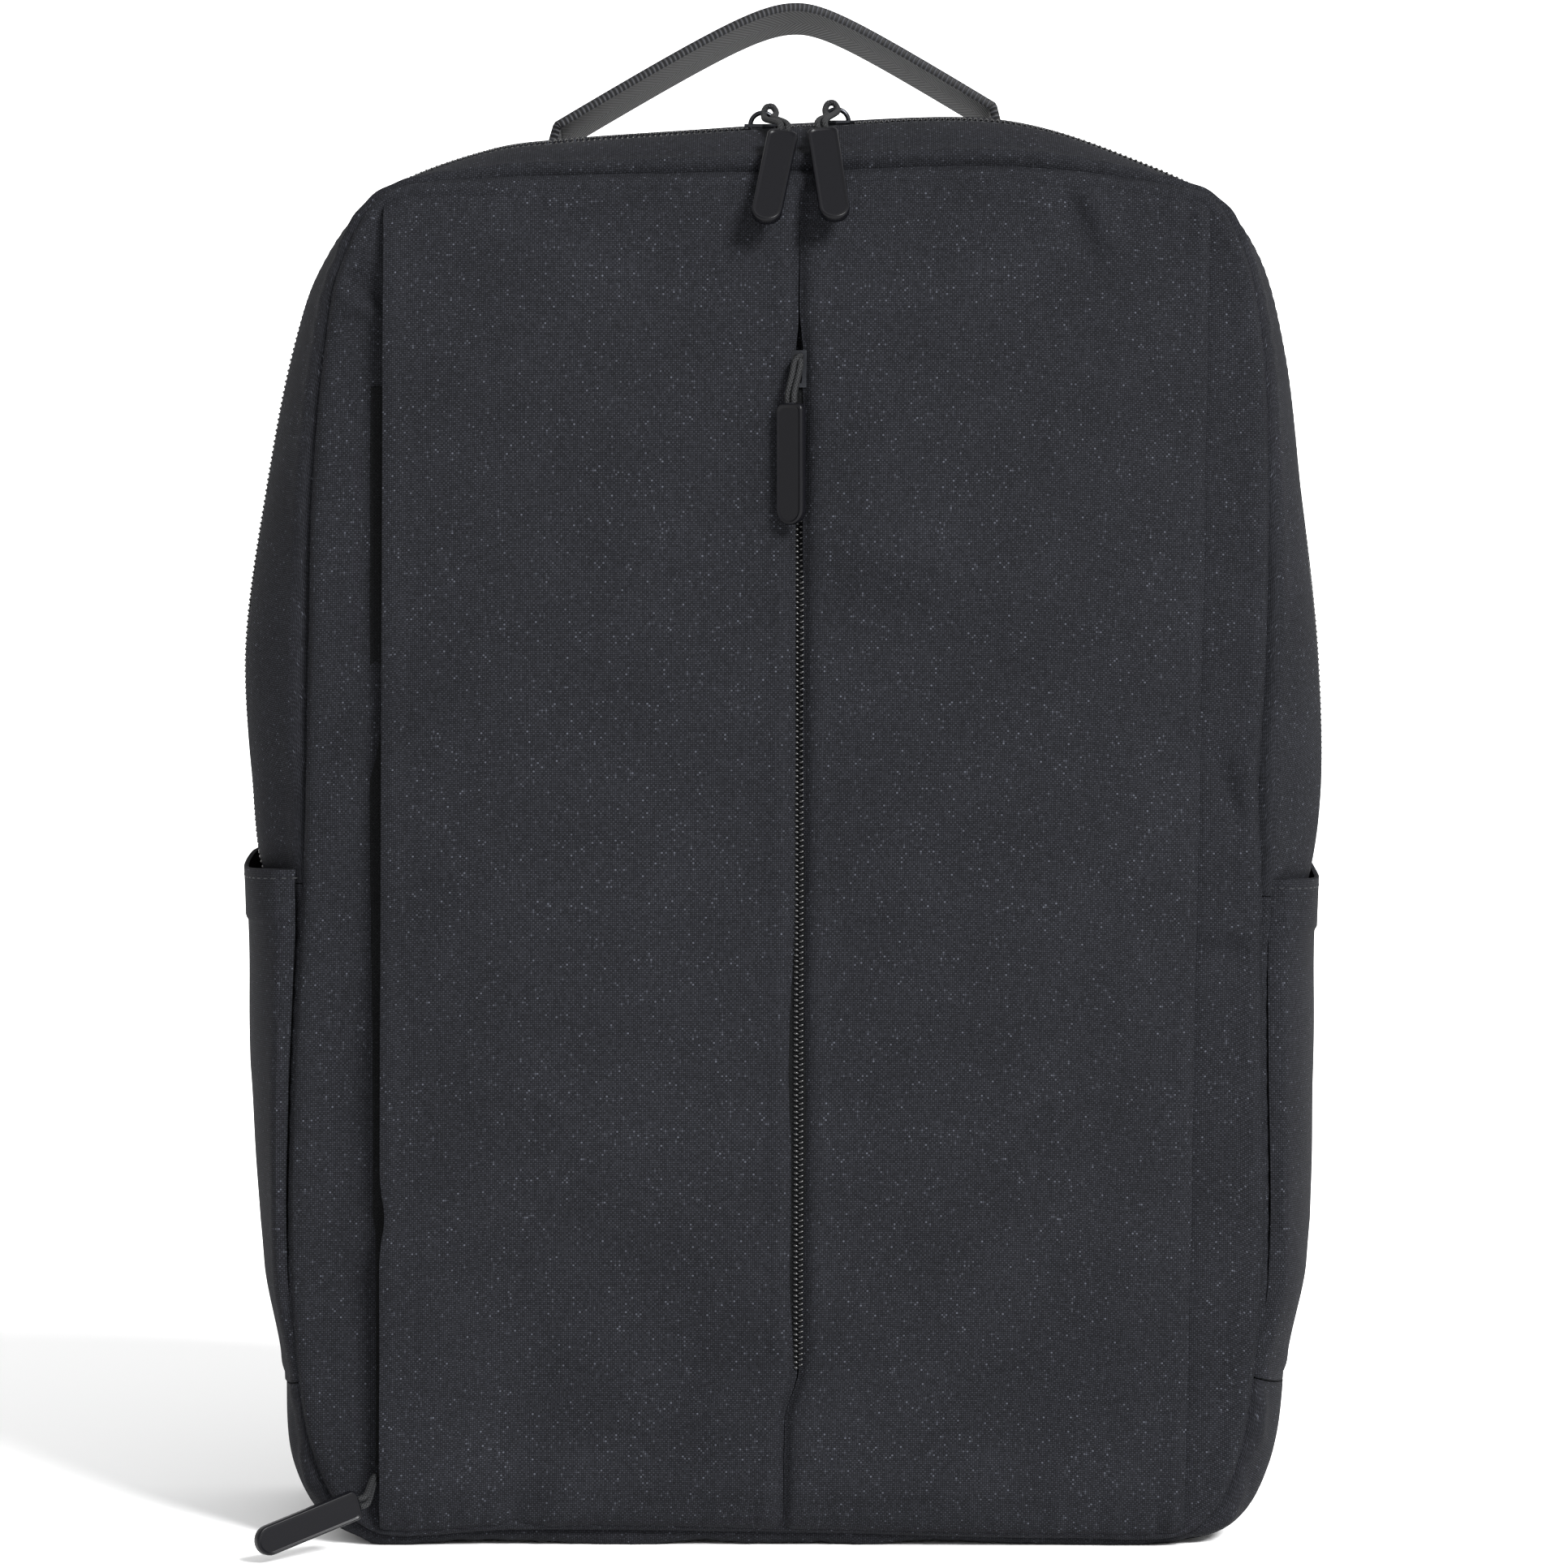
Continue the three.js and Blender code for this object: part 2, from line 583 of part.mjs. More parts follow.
function lowerWebbing(side, name) {
  const foot = strapLine(side, 1);
  const start = new THREE.Vector3(foot.x, foot.y - lockWall - seamGap, foot.z - lockBar);
  const endX = side * (halfWidth - webFootInset);
  const endY = backSurfaceY(endX, webFootHeight) + webWall + seamGap * 2;
  const end = new THREE.Vector3(endX, endY, webFootHeight);
  const outerAt = (s, t) => {
    const flat = Math.min(1, (t * (start.z - end.z)) / lockHeight);
    const run = THREE.MathUtils.lerp(t * 0.2, t, flat);
    const point = start.clone().lerp(end, t);
    point.y = THREE.MathUtils.lerp(start.y, end.y, Math.min(1, run) ** 1.6);
    point.x += (s - 0.5) * webWidth;
    return point;
  };
  return piece(name, sheet(outerAt, 1, 12, webWall, middleOfBag), webbing);
}

function shoulderStraps() {
  return [-1, 1].flatMap((side) => {
    const word = side > 0 ? 'right' : 'left';
    return [
      shoulderPad(side, `shoulder_pad_${word}`),
      ladderLock(side, `ladder_lock_${word}`),
      lowerWebbing(side, `lower_webbing_${word}`),
    ];
  });
}

// Zip pulls
function solidOf(geometry) {
  const bare = geometry.clone();
  bare.deleteAttribute('normal');
  bare.deleteAttribute('uv');
  const merged = BufferGeometryUtils.mergeVertices(bare, 1e-4);
  const vertProperties = new Float32Array(merged.getAttribute('position').array);
  const triVerts = new Uint32Array(merged.getIndex().array);
  return new manifold.Manifold(new manifold.Mesh({ numProp: 3, vertProperties, triVerts }));
}

function geometryOf(solid) {
  const mesh = solid.getMesh();
  const geometry = new THREE.BufferGeometry();
  geometry.setAttribute('position', new THREE.BufferAttribute(new Float32Array(mesh.vertProperties), 3));
  geometry.setIndex(new THREE.BufferAttribute(new Uint32Array(mesh.triVerts), 1));
  return geometry;
}

// A slider lies on z = 0 and slides along x. Its wire bail stands on it in the xz plane.
function sliderPlate(wall) {
  const halfLength = sliderLength / 2;
  const halfSlider = sliderWidth / 2;
  const nose = 0.6;
  const body = new THREE.Shape();
  body.moveTo(-halfLength, -halfSlider * nose);
  body.lineTo(0, -halfSlider);
  body.lineTo(halfLength, -halfSlider * nose);
  body.lineTo(halfLength, halfSlider * nose);
  body.lineTo(0, halfSlider);
  body.lineTo(-halfLength, halfSlider * nose);
  body.closePath();
  return new THREE.ExtrudeGeometry(body, { depth: wall, bevelEnabled: false });
}

function sliderWithBail() {
  const arch = new THREE.Shape();
  arch.absarc(0, 0, bailRadius, 0, Math.PI, false);
  arch.absarc(0, 0, bailRadius - bailWire, Math.PI, 0, true);
  arch.closePath();
  const bail = new THREE.ExtrudeGeometry(arch, { depth: bailWire, bevelEnabled: false, curveSegments: 8 });
  bail.translate(0, 0, -bailWire / 2);
  bail.rotateX(Math.PI / 2);
  bail.translate(0, 0, sliderWall - bailWire / 4);
  return geometryOf(solidOf(sliderPlate(sliderWall)).add(solidOf(bail)));
}

// A tab hangs from z = 0 down, with its face towards -y.
function tabGeometry() {
  const half = tabWidth / 2 - tabRounding;
  const length = tabLength - tabRounding;
  const shoulder = 1.6;
  const shape = new THREE.Shape();
  shape.moveTo(-half + shoulder, -tabRounding);
  shape.lineTo(-half, -tabRounding - shoulder);
  shape.lineTo(-half, -length + half);
  shape.absarc(0, -length + half, half, Math.PI, 2 * Math.PI, false);
  shape.lineTo(half, -tabRounding - shoulder);
  shape.lineTo(half - shoulder, -tabRounding);
  shape.closePath();
  const settings = {
    depth: tabWall - 2 * tabRounding,
    bevelThickness: tabRounding,
    bevelSize: tabRounding,
    bevelSegments: 1,
    curveSegments: 8,
  };
  const geometry = new THREE.ExtrudeGeometry(shape, settings);
  geometry.translate(0, 0, -tabWall / 2 + tabRounding);
  geometry.rotateX(Math.PI / 2);
  return geometry;
}

function placedTab(name, top, end, facing) {
  const down = end.clone().sub(top).normalize();
  const mesh = piece(name, tabGeometry(), plastic);
  const up = down.clone().negate();
  const side = facing.clone().negate().cross(up).normalize();
  const back = up.clone().cross(side);
  mesh.quaternion.setFromRotationMatrix(new THREE.Matrix4().makeBasis(side, back, up));
  mesh.position.copy(top);
  return mesh;
}

function cordGeometry(points) {
  const path = new THREE.CatmullRomCurve3(points, false, 'centripetal');
  const section = new THREE.Shape();
  section.absarc(0, 0, cordDiameter / 2, 0, 2 * Math.PI, false);
  return new THREE.ExtrudeGeometry(section, { steps: 22, extrudePath: path, curveSegments: 3 });
}

function placedSlider(name, geometry, seat, along, out) {
  const mesh = piece(name, geometry, metal);
  const side = out.clone().cross(along).normalize();
  mesh.quaternion.setFromRotationMatrix(new THREE.Matrix4().makeBasis(along, side, out));
  mesh.position.copy(seat).addScaledVector(out, seamGap);
  return mesh;
}

// Where the two strands of a cord meet the top of a tab, each with a lead in line with the tab
function strandsAt(tabTop, tabEnd, facing) {
  const down = tabEnd.clone().sub(tabTop).normalize();
  const side = down.clone().cross(facing).normalize();
  const along = (offset, back) => {
    const point = tabTop.clone().addScaledVector(side, (offset * cordSpread) / 2);
    return point.addScaledVector(down, -seamGap - back);
  };
  const lead = 2.5;
  return { near: along(1, 0), nearLead: along(1, lead), far: along(-1, 0), farLead: along(-1, lead) };
}

function moved(point, x, y, z) {
  return point.clone().add(new THREE.Vector3(x, y, z));
}

// A top pull: the cord goes through the bail, back over it and forward to the tab, which leans
// on the front edge of the bag.
function topPull({ word, row, tabX, lean, lift }) {
  const out = new THREE.Vector3(0, 0, 1);
  const seat = bodyPoint(row, mainZipDepth);
  seat.z -= zipRecess / 2;
  const tabTop = new THREE.Vector3(tabX, seat.y - topTabReach, seat.z + lift);
  const tabEnd = moved(tabTop, lean, -topTabForward, -topTabDown);
  const eye = seat.clone().addScaledVector(out, seamGap + sliderWall + bailWire * 0.7);
  const facing = new THREE.Vector3(0, -1, 0.9).normalize();
  const { near, nearLead, far, farLead } = strandsAt(tabTop, tabEnd, facing);
  const points = [
    near,
    nearLead,
    moved(eye, 0, -9, 1.2),
    moved(eye, 0, -3, 0),
    eye,
    moved(eye, 0, 3, 0.6),
    moved(eye, 0, 4, 3),
    moved(eye, 0, 2.2, 5.4),
    moved(eye, 0, -1.2, 6.2),
    moved(eye, 0, -9, 5.6),
    farLead,
    far,
  ];
  return [
    placedSlider(`slider_top_${word}`, sliderWithBail(), seat, new THREE.Vector3(1, 0, 0), out),
    piece(`pull_cord_top_${word}`, cordGeometry(points), webbing),
    placedTab(`pull_tab_top_${word}`, tabTop, tabEnd, facing),
  ];
}

// The centre pull hangs from the bail of the centre zip's slider, turned a little on its cord.
function centrePull() {
  const share = 1 - centrePullDrop / bodyHeight;
  const halfSlider = sliderLength / 2 / bodyHeight;
  const seat = overlayPoint(-1, 1, share, overlayWall + seamGap);
  const above = overlayPoint(-1, 1, share + halfSlider, overlayWall + seamGap);
  const along = new THREE.Vector3(0, above.y - seat.y, above.z - seat.z).normalize();
  const out = new THREE.Vector3(1, 0, 0).cross(along);
  seat.x += slitWidth / 2;
  const eye = seat.clone().addScaledVector(out, seamGap + sliderWall + bailWire * 0.7);
  const hangY = (z) => overlayPoint(-1, 1, z / bodyHeight, overlayWall).y - tabStandOff;
  const tabTop = moved(eye, centreTabShift, 0, -centreCordLength);
  const tabEnd = moved(tabTop, 0, 0, -tabLength);
  tabTop.y = hangY(tabTop.z);
  tabEnd.y = hangY(tabEnd.z);
  const facing = new THREE.Vector3(-Math.sin(centreTabTurn), -Math.cos(centreTabTurn), 0);
  const { near, nearLead, far, farLead } = strandsAt(tabTop, tabEnd, facing);
  const points = [
    near,
    nearLead,
    moved(eye, near.x > far.x ? 2.1 : -2.1, -1.2, -2.6),
    eye,
    moved(eye, near.x > far.x ? -2.1 : 2.1, -1.2, -2.6),
    farLead,
    far,
  ];
  return [
    placedSlider('slider_centre', sliderWithBail(), seat, along, out),
    piece('pull_cord_centre', cordGeometry(points), webbing),
    placedTab('pull_tab_centre', tabTop, tabEnd, facing),
  ];
}

// The side zip's slider is under the overlay's left edge, and its cord comes out from there.
function sidePull() {
  const edge = overlayPoint(-1, 0, sidePullHeight / bodyHeight, 0);
  const tapeY = frontSurfaceY(edge.x, edge.z) - seamGap - zipTapeWall;
  const out = new THREE.Vector3(0, -1, 0);
  const seat = new THREE.Vector3(edge.x + zipTapeWidth / 2, tapeY, edge.z);
  const tabTop = moved(edge, -6, -9, -6);
  const reach = new THREE.Vector3(-29, -18, -9.5).setLength(tabLength);
  const tabEnd = tabTop.clone().add(reach);
  const facing = new THREE.Vector3(0, -1, -0.1);
  const { near, nearLead, far, farLead } = strandsAt(tabTop, tabEnd, facing);
  const bend = moved(seat, -sliderWidth / 2 - seamGap - cordDiameter / 2, -seamGap - lowSliderWall / 2, 0);
  const half = cordSpread / 2;
  const rise = near.z > far.z ? 1 : -1;
  const points = [
    near,
    nearLead,
    moved(bend, -4, -1.2, rise * half),
    moved(bend, -1, 0, rise * half),
    bend,
    moved(bend, -1, 0, -rise * half),
    moved(bend, -4, -1.2, -rise * half),
    farLead,
    far,
  ];
  const along = new THREE.Vector3(0, 0, 1);
  return [
    placedSlider('slider_side', sliderPlate(lowSliderWall), seat, along, out),
    piece('pull_cord_side', cordGeometry(points), webbing),
    placedTab('pull_tab_side', tabTop, tabEnd, facing),
  ];
}

const group = new THREE.Group();
group.add(frontPanel());
group.add(backPanel());
group.add(basePanel());
group.add(...gussets());
group.add(...sidePanels());
group.add(...overlays());
group.add(centreZip());
group.add(sideZip());
group.add(...sidePockets());
group.add(carryHandle());
group.add(...shoulderStraps());
topPulls.forEach((pull) => group.add(...topPull(pull)));
group.add(...centrePull());
group.add(...sidePull());

export default group;
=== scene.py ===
# Laptop backpack, dressed for the studio. The front faces -Y and +Z is up.
# Shapes are worked out in millimetres and turned to metres as each mesh is made.
import math
import bpy
import bmesh
import numpy as np
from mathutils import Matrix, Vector


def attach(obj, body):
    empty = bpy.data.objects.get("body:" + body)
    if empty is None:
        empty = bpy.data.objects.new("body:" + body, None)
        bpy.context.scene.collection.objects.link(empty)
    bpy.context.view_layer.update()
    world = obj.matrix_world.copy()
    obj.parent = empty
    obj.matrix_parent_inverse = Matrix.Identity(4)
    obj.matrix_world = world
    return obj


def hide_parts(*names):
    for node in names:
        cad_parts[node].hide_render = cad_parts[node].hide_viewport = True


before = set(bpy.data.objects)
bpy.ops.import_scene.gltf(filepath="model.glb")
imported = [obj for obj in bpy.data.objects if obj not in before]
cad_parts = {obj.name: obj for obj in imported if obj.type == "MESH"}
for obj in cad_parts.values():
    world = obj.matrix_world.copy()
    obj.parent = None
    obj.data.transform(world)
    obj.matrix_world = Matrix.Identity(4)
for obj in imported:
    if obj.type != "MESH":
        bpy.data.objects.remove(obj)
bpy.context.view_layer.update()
scene = bpy.context.scene
mm = 0.001

shot = {
    "aim": (0.24, -55, 227),  # what the middle of the picture shows
    "distance": 3000,
    "elevation": 5,  # degrees above level
    "width": 463.7,  # what the frame spans at the aim
    "sensor": 36,
}


def makeCamera():
    data = bpy.data.cameras.new("photoCamera")
    data.sensor_width = shot["sensor"]
    data.lens = shot["sensor"] * shot["distance"] / shot["width"]
    data.clip_end = 50
    camera = bpy.data.objects.new("photoCamera", data)
    scene.collection.objects.link(camera)
    tilt = math.radians(shot["elevation"])
    aim = Vector(shot["aim"]) * mm
    away = Vector((0, -math.cos(tilt), math.sin(tilt)))
    camera.location = aim + away * shot["distance"] * mm
    camera.rotation_euler = (-away).to_track_quat("-Z", "Y").to_euler()
    scene.camera = camera


makeCamera()
print("camera set")

bag = {
    "halfWidth": 163, "height": 422, "baseDepth": 122, "crownDepth": 104, "backY": 61,
    "backNarrowing": 0.985, "backTuck": 0.965, "backFoot": 4,
    "frontBulge": 8, "backBulge": 3, "swellWidth": 0.885, "swellHeight": 0.965,
    "seamGap": 0.3, "cloth": 1.6, "baseCloth": 2.4, "padding": 6,
    "mainZip": 0.31,  # share of the depth where the main zip runs
    "tapeWidth": 11, "tapeWall": 1.0, "tapeSunk": 0.7,
}

# The outline seen from the front, clockwise from the top middle: the front seam and the wall
# behind it as shares of half the width and of the height, and the share of depth in which
# the wall turns from one to the other.
outlineColumns = ("place", "frontX", "frontZ", "sideX", "sideZ", "turn")
outlineRows = [
    ("topMiddle", 0.03, 0.966, 0.03, 0.995, 0.28),
    ("handleRootRight", 0.427, 0.969, 0.41, 0.998, 0.28),
    ("topRight", 0.675, 0.958, 0.64, 0.972, 0.28),
    ("topRightCorner", 0.774, 0.948, 0.8, 0.941, 0.28),
    ("rightShoulder", 0.836, 0.911, 0.868, 0.905, 0.3),
    ("rightUnderShoulder", 0.871, 0.843, 0.918, 0.837, 0.31),
    ("rightUpper", 0.882, 0.745, 0.95, 0.74, 0.31),
    ("rightWaistTop", 0.878, 0.631, 0.984, 0.624, 0.31),
    ("rightWidest", 0.865, 0.533, 0.988, 0.525, 0.31),
    ("rightAtHem", 0.87, 0.47, 0.966, 0.466, 0.31),
    ("rightUnderHem", 0.872, 0.412, 0.915, 0.41, 0.31),
    ("rightLower", 0.874, 0.333, 0.91, 0.33, 0.31),
    ("rightLow", 0.879, 0.223, 0.906, 0.22, 0.28),
    ("rightBaseSeam", 0.861, 0.13, 0.921, 0.12, 0.26),
    ("rightFoot", 0.831, 0.062, 0.887, 0.048, 0.22),
    ("rightFootTurn", 0.79, 0.026, 0.826, 0.012, 0.15),
    ("baseRightCorner", 0.73, 0.008, 0.73, 0, 0.1),
    ("baseRight", 0.496, 0.005, 0.5, 0, 0.1),
    ("baseMiddle", 0, 0.009, 0, 0, 0.1),
    ("baseLeft", -0.485, 0.011, -0.5, 0, 0.1),
    ("baseLeftCorner", -0.735, 0.009, -0.735, 0, 0.1),
    ("leftFootTurn", -0.805, 0.026, -0.83, 0.012, 0.15),
    ("leftFoot", -0.856, 0.062, -0.897, 0.05, 0.22),
    ("leftBaseSeam", -0.887, 0.126, -0.916, 0.12, 0.26),
    ("leftLow", -0.901, 0.226, -0.908, 0.22, 0.28),
    ("leftLower", -0.893, 0.333, -0.912, 0.33, 0.31),
    ("leftUnderHem", -0.879, 0.43, -0.915, 0.427, 0.31),
    ("leftAtHem", -0.8725, 0.477, -0.96, 0.473, 0.31),
    ("leftWidest", -0.868, 0.54, -0.976, 0.535, 0.31),
    ("leftWaistTop", -0.863, 0.631, -0.988, 0.624, 0.31),
    ("leftUpper", -0.855, 0.745, -0.948, 0.74, 0.31),
    ("leftUnderShoulder", -0.831, 0.845, -0.896, 0.84, 0.31),
    ("leftShoulder", -0.804, 0.899, -0.846, 0.894, 0.3),
    ("topLeftCorner", -0.723, 0.95, -0.748, 0.944, 0.28),
    ("topLeft", -0.545, 0.961, -0.545, 0.977, 0.28),
    ("handleRootLeft", -0.4, 0.963, -0.4, 0.985, 0.28),
]
outline = [dict(zip(outlineColumns, row)) for row in outlineRows]
places = [row["place"] for row in outline]
around = len(outline)


def column(name):
    return np.array([row[name] for row in outline], float)


def throughKnots(knots, w):  # a centripetal curve between the middle two of four knots
    p0, p1, p2, p3 = knots
    steps = ((p0, p1), (p1, p2), (p2, p3))
    d0, d1, d2 = (np.maximum(1e-4, np.sum((b - a) ** 2, -1, keepdims=True)) ** 0.25 for a, b in steps)
    m1 = ((p1 - p0) / d0 - (p2 - p0) / (d0 + d1) + (p2 - p1) / d1) * d1
    m2 = ((p2 - p1) / d1 - (p3 - p1) / (d1 + d2) + (p3 - p2) / d2) * d1
    return p1 + m1 * w + (3 * (p2 - p1) - 2 * m1 - m2) * w ** 2 + (2 * (p1 - p2) + m1 + m2) * w ** 3


def closedCurve(across, up):
    knots = np.stack([column(across) * bag["halfWidth"], column(up) * bag["height"]], -1)

    def at(row):
        row = np.asarray(row, float)
        whole = np.floor(row).astype(int)
        point = throughKnots([knots[(whole + k) % around] for k in (-1, 0, 1, 2)], (row - whole)[..., None])
        return point[..., 0], point[..., 1]

    return at


frontSeam = closedCurve("frontX", "frontZ")
sideWall = closedCurve("sideX", "sideZ")


def between(row, values):
    row = np.asarray(row, float)
    whole = np.floor(row).astype(int)
    w = row - whole
    return values[whole % around] * (1 - w) + values[(whole + 1) % around] * w


def lerp(a, b, t):
    return a + (b - a) * t


def smooth(t, start=0.0, end=1.0):
    t = np.clip((t - start) / (end - start), 0, 1)
    return t * t * (3 - 2 * t)


def hump(distance, width):  # 1 at no distance, falling away softly
    return np.exp(-(distance / width) ** 2)


def depthAt(z):
    return lerp(bag["baseDepth"], bag["crownDepth"], np.clip(z / bag["height"], 0, 1))


def bodyPoint(row, depth):  # depth is 0 at the front seam and 1 at the back seam
    frontX, frontZ = frontSeam(row)
    sideX, sideZ = sideWall(row)
    backX = sideX * bag["backNarrowing"]
    backZ = bag["backFoot"] + sideZ * bag["backTuck"]
    turn = between(row, column("turn"))
    toFront = np.maximum(0, 1 - depth / turn) ** 2
    toBack = np.maximum(0, 1 - (1 - depth) / turn) ** 2
    x = sideX + (frontX - sideX) * toFront + (backX - sideX) * toBack
    z = np.maximum(0, sideZ + (frontZ - sideZ) * toFront + (backZ - sideZ) * toBack)
    return np.stack([x, bag["backY"] - depthAt(z) * (1 - depth), z], -1)


def depthShare(length, row):
    return length / depthAt(sideWall(row)[1])


def pillow(x, z):
    middle = bag["height"] / 2
    across = 1 - np.abs(x / (bag["halfWidth"] * bag["swellWidth"])) ** 3
    up = 1 - np.abs((z - middle) / (middle * bag["swellHeight"])) ** 4
    return np.maximum(0, across) * np.maximum(0, up)


def frontY(x, z):
    return bag["backY"] - depthAt(z) - bag["frontBulge"] * pillow(x, z)


def backY(x, z):
    return bag["backY"] + bag["backBulge"] * pillow(x, z)


def rowOf(place):
    return places.index(place)


baseSeamRight = rowOf("rightBaseSeam") + 0.15
baseSeamLeft = rowOf("leftBaseSeam") - 0.15
zipEndRight = rowOf("rightAtHem") + 0.2
zipEndLeft = rowOf("leftAtHem") - 0.2

made = []  # (object, CAD nodes that it stands for, slot)
surfaces = {}  # the outer face of each cloth piece
bagMiddle = np.array([0, 0, bag["height"] / 2])


def gridOf(columns, rows, pointAt):  # pointAt takes s and t from 0 to 1 as arrays
    s, t = np.meshgrid(np.linspace(0, 1, columns + 1), np.linspace(0, 1, rows + 1))
    return pointAt(s, t)


def normalsOf(grid, middle=bagMiddle):
    normals = np.cross(np.gradient(grid, axis=1), np.gradient(grid, axis=0))
    normals /= np.maximum(1e-9, np.linalg.norm(normals, axis=-1, keepdims=True))
    outwards = np.sum(normals * (grid - middle), -1)
    return normals * (1 if outwards.mean() > 0 else -1)


def lengths(grid):  # how far each point lies along the cloth, both ways
    across = np.linalg.norm(np.diff(grid, axis=1), axis=-1)
    up = np.linalg.norm(np.diff(grid, axis=0), axis=-1)
    u = np.concatenate([np.zeros((grid.shape[0], 1)), np.cumsum(across, 1)], 1)
    v = np.concatenate([np.zeros((1, grid.shape[1])), np.cumsum(up, 0)], 0)
    return u - u[:, [u.shape[1] // 2]], v - v[[v.shape[0] // 2], :]


def placePiece(name, mesh):
    piece = bpy.data.objects.new(name, mesh)
    scene.collection.objects.link(piece)
    return piece


def shadeSmooth(mesh, sharp=None):
    mesh.polygons.foreach_set("use_smooth", [True] * len(mesh.polygons))
    if sharp:
        mesh.set_sharp_from_angle(angle=math.radians(sharp))


def worked(piece):  # the mesh as its modifiers leave it
    shapes = bpy.context.evaluated_depsgraph_get()
    return bpy.data.meshes.new_from_object(piece.evaluated_get(shapes))


def ringFaces(rings, size):  # quads between rings of points, and a cap at each end
    faces = []
    for j in range(rings - 1):
        for k in range(size):
            a, b = j * size + k, j * size + (k + 1) % size
            faces.append((a, b, b + size, a + size))
    faces.append(tuple(range(size))[::-1])
    faces.append(tuple(range((rings - 1) * size, rings * size)))
    return faces


def meshPiece(name, points, faces, uvs, material):
    mesh = bpy.data.meshes.new(name)
    mesh.from_pydata((np.asarray(points) * mm).tolist(), [], faces)
    mesh.materials.append(material)
    if uvs is not None:
        layer = mesh.uv_layers.new(name="cloth")
        corner = np.zeros(len(mesh.loops), dtype=np.int32)
        mesh.loops.foreach_get("vertex_index", corner)
        layer.data.foreach_set("uv", np.asarray(uvs)[corner].astype(np.float32).ravel())
    work = bmesh.new()
    work.from_mesh(mesh)
    bmesh.ops.recalc_face_normals(work, faces=work.faces)
    work.to_mesh(mesh)
    work.free()
    shadeSmooth(mesh, sharp=50)
    return placePiece(name, mesh)


def clothPiece(name, grid, wall, material, nodes, slot, normals=None, turnUv=False):
    rows, columns = grid.shape[0] - 1, grid.shape[1] - 1
    width = columns + 1
    normals = normalsOf(grid) if normals is None else normals
    inner = grid - normals * wall
    ring = list(range(columns))
    ring += [j * width + columns for j in range(rows)]
    ring += [rows * width + i for i in range(columns, 0, -1)]
    ring += [j * width for j in range(rows, 0, -1)]
    far = width * (rows + 1)
    flatOuter, flatInner = grid.reshape(-1, 3), inner.reshape(-1, 3)
    middle = (flatOuter[ring] + flatInner[ring]) / 2
    inwards = np.array([flatOuter[stepIn(i, width, rows, columns)] for i in ring]) - flatOuter[ring]
    inwards /= np.maximum(1e-9, np.linalg.norm(inwards, axis=-1, keepdims=True))
    middle = middle - inwards * wall * 0.22
    points = np.concatenate([flatOuter, flatInner, middle])
    a = (np.arange(rows)[:, None] * width + np.arange(columns)[None, :]).ravel()
    outerFaces = np.stack([a, a + 1, a + width + 1, a + width], -1)
    innerFaces = np.stack([a, a + width, a + width + 1, a + 1], -1) + far
    ring = np.array(ring)
    nextRing = np.roll(ring, -1)
    order = np.arange(len(ring))
    nextOrder = np.roll(order, -1)
    rimOuter = np.stack([ring, order + 2 * far, nextOrder + 2 * far, nextRing], -1)
    rimInner = np.stack([order + 2 * far, ring + far, nextRing + far, nextOrder + 2 * far], -1)
    faces = np.concatenate([outerFaces, innerFaces, rimOuter, rimInner]).tolist()
    u, v = lengths(grid)
    if turnUv:
        u, v = v, u
    flatUv = np.stack([u.ravel(), v.ravel()], -1)
    uvs = np.concatenate([flatUv, flatUv, flatUv[ring]])
    piece = meshPiece(name, points, faces, uvs, material)
    made.append((piece, nodes, slot))
    surfaces[name] = (grid, normals)
    return piece


def stepIn(index, width, rows, columns):  # the grid point next to a rim point, away from the rim
    row, place = divmod(index, width)
    row = min(max(row, 1), rows - 1)
    place = min(max(place, 1), columns - 1)
    return row * width + place


def linear(hexColour):
    parts = [int(hexColour[i:i + 2], 16) / 255 for i in (1, 3, 5)]
    return tuple(c / 12.92 if c <= 0.04045 else ((c + 0.055) / 1.055) ** 2.4 for c in parts) + (1,)


def addNode(tree, kind, settings=None, inputs=None):
    node = tree.nodes.new(kind)
    for key, value in (settings or {}).items():
        setattr(node, key, value)
    for key, value in (inputs or {}).items():
        if isinstance(value, bpy.types.NodeSocket):
            tree.links.new(value, node.inputs[key])
        else:
            node.inputs[key].default_value = value
    return node


def newMaterial(name):
    material = bpy.data.materials.new(name)
    material.use_nodes = True
    tree = material.node_tree
    tree.nodes.clear()
    return material, tree


def finishMaterial(tree, surface, colour, bump):
    shader = addNode(tree, "ShaderNodeBsdfPrincipled", None,
                     {"Base Color": colour, "Normal": bump, **surface})
    addNode(tree, "ShaderNodeOutputMaterial", None, {"Surface": shader.outputs[0]})


def mathNode(tree, operation, *values):
    return addNode(tree, "ShaderNodeMath", {"operation": operation}, dict(enumerate(values))).outputs[0]


def remap(tree, value, taken, given):
    limits = dict(zip(("From Min", "From Max", "To Min", "To Max"), taken + given))
    return addNode(tree, "ShaderNodeMapRange", None, {"Value": value, **limits}).outputs[0]


def blend(tree, share, dark, pale):
    return addNode(tree, "ShaderNodeMix", {"data_type": "RGBA"}, {0: share, 6: dark, 7: pale}).outputs[2]


def shaded(tree, colour, share):
    return addNode(tree, "ShaderNodeVectorMath", {"operation": "SCALE"},
                   {0: colour, "Scale": share}).outputs[0]


def bumped(tree, height, relief, strength=0.8):
    return addNode(tree, "ShaderNodeBump", None,
                   {"Strength": strength, "Distance": relief * mm, "Height": height}).outputs[0]


def clothParts(tree):  # where a point of the cloth is, in millimetres across and along it
    place = addNode(tree, "ShaderNodeUVMap", {"uv_map": "cloth"})
    return addNode(tree, "ShaderNodeSeparateXYZ", None, {0: place.outputs[0]}).outputs


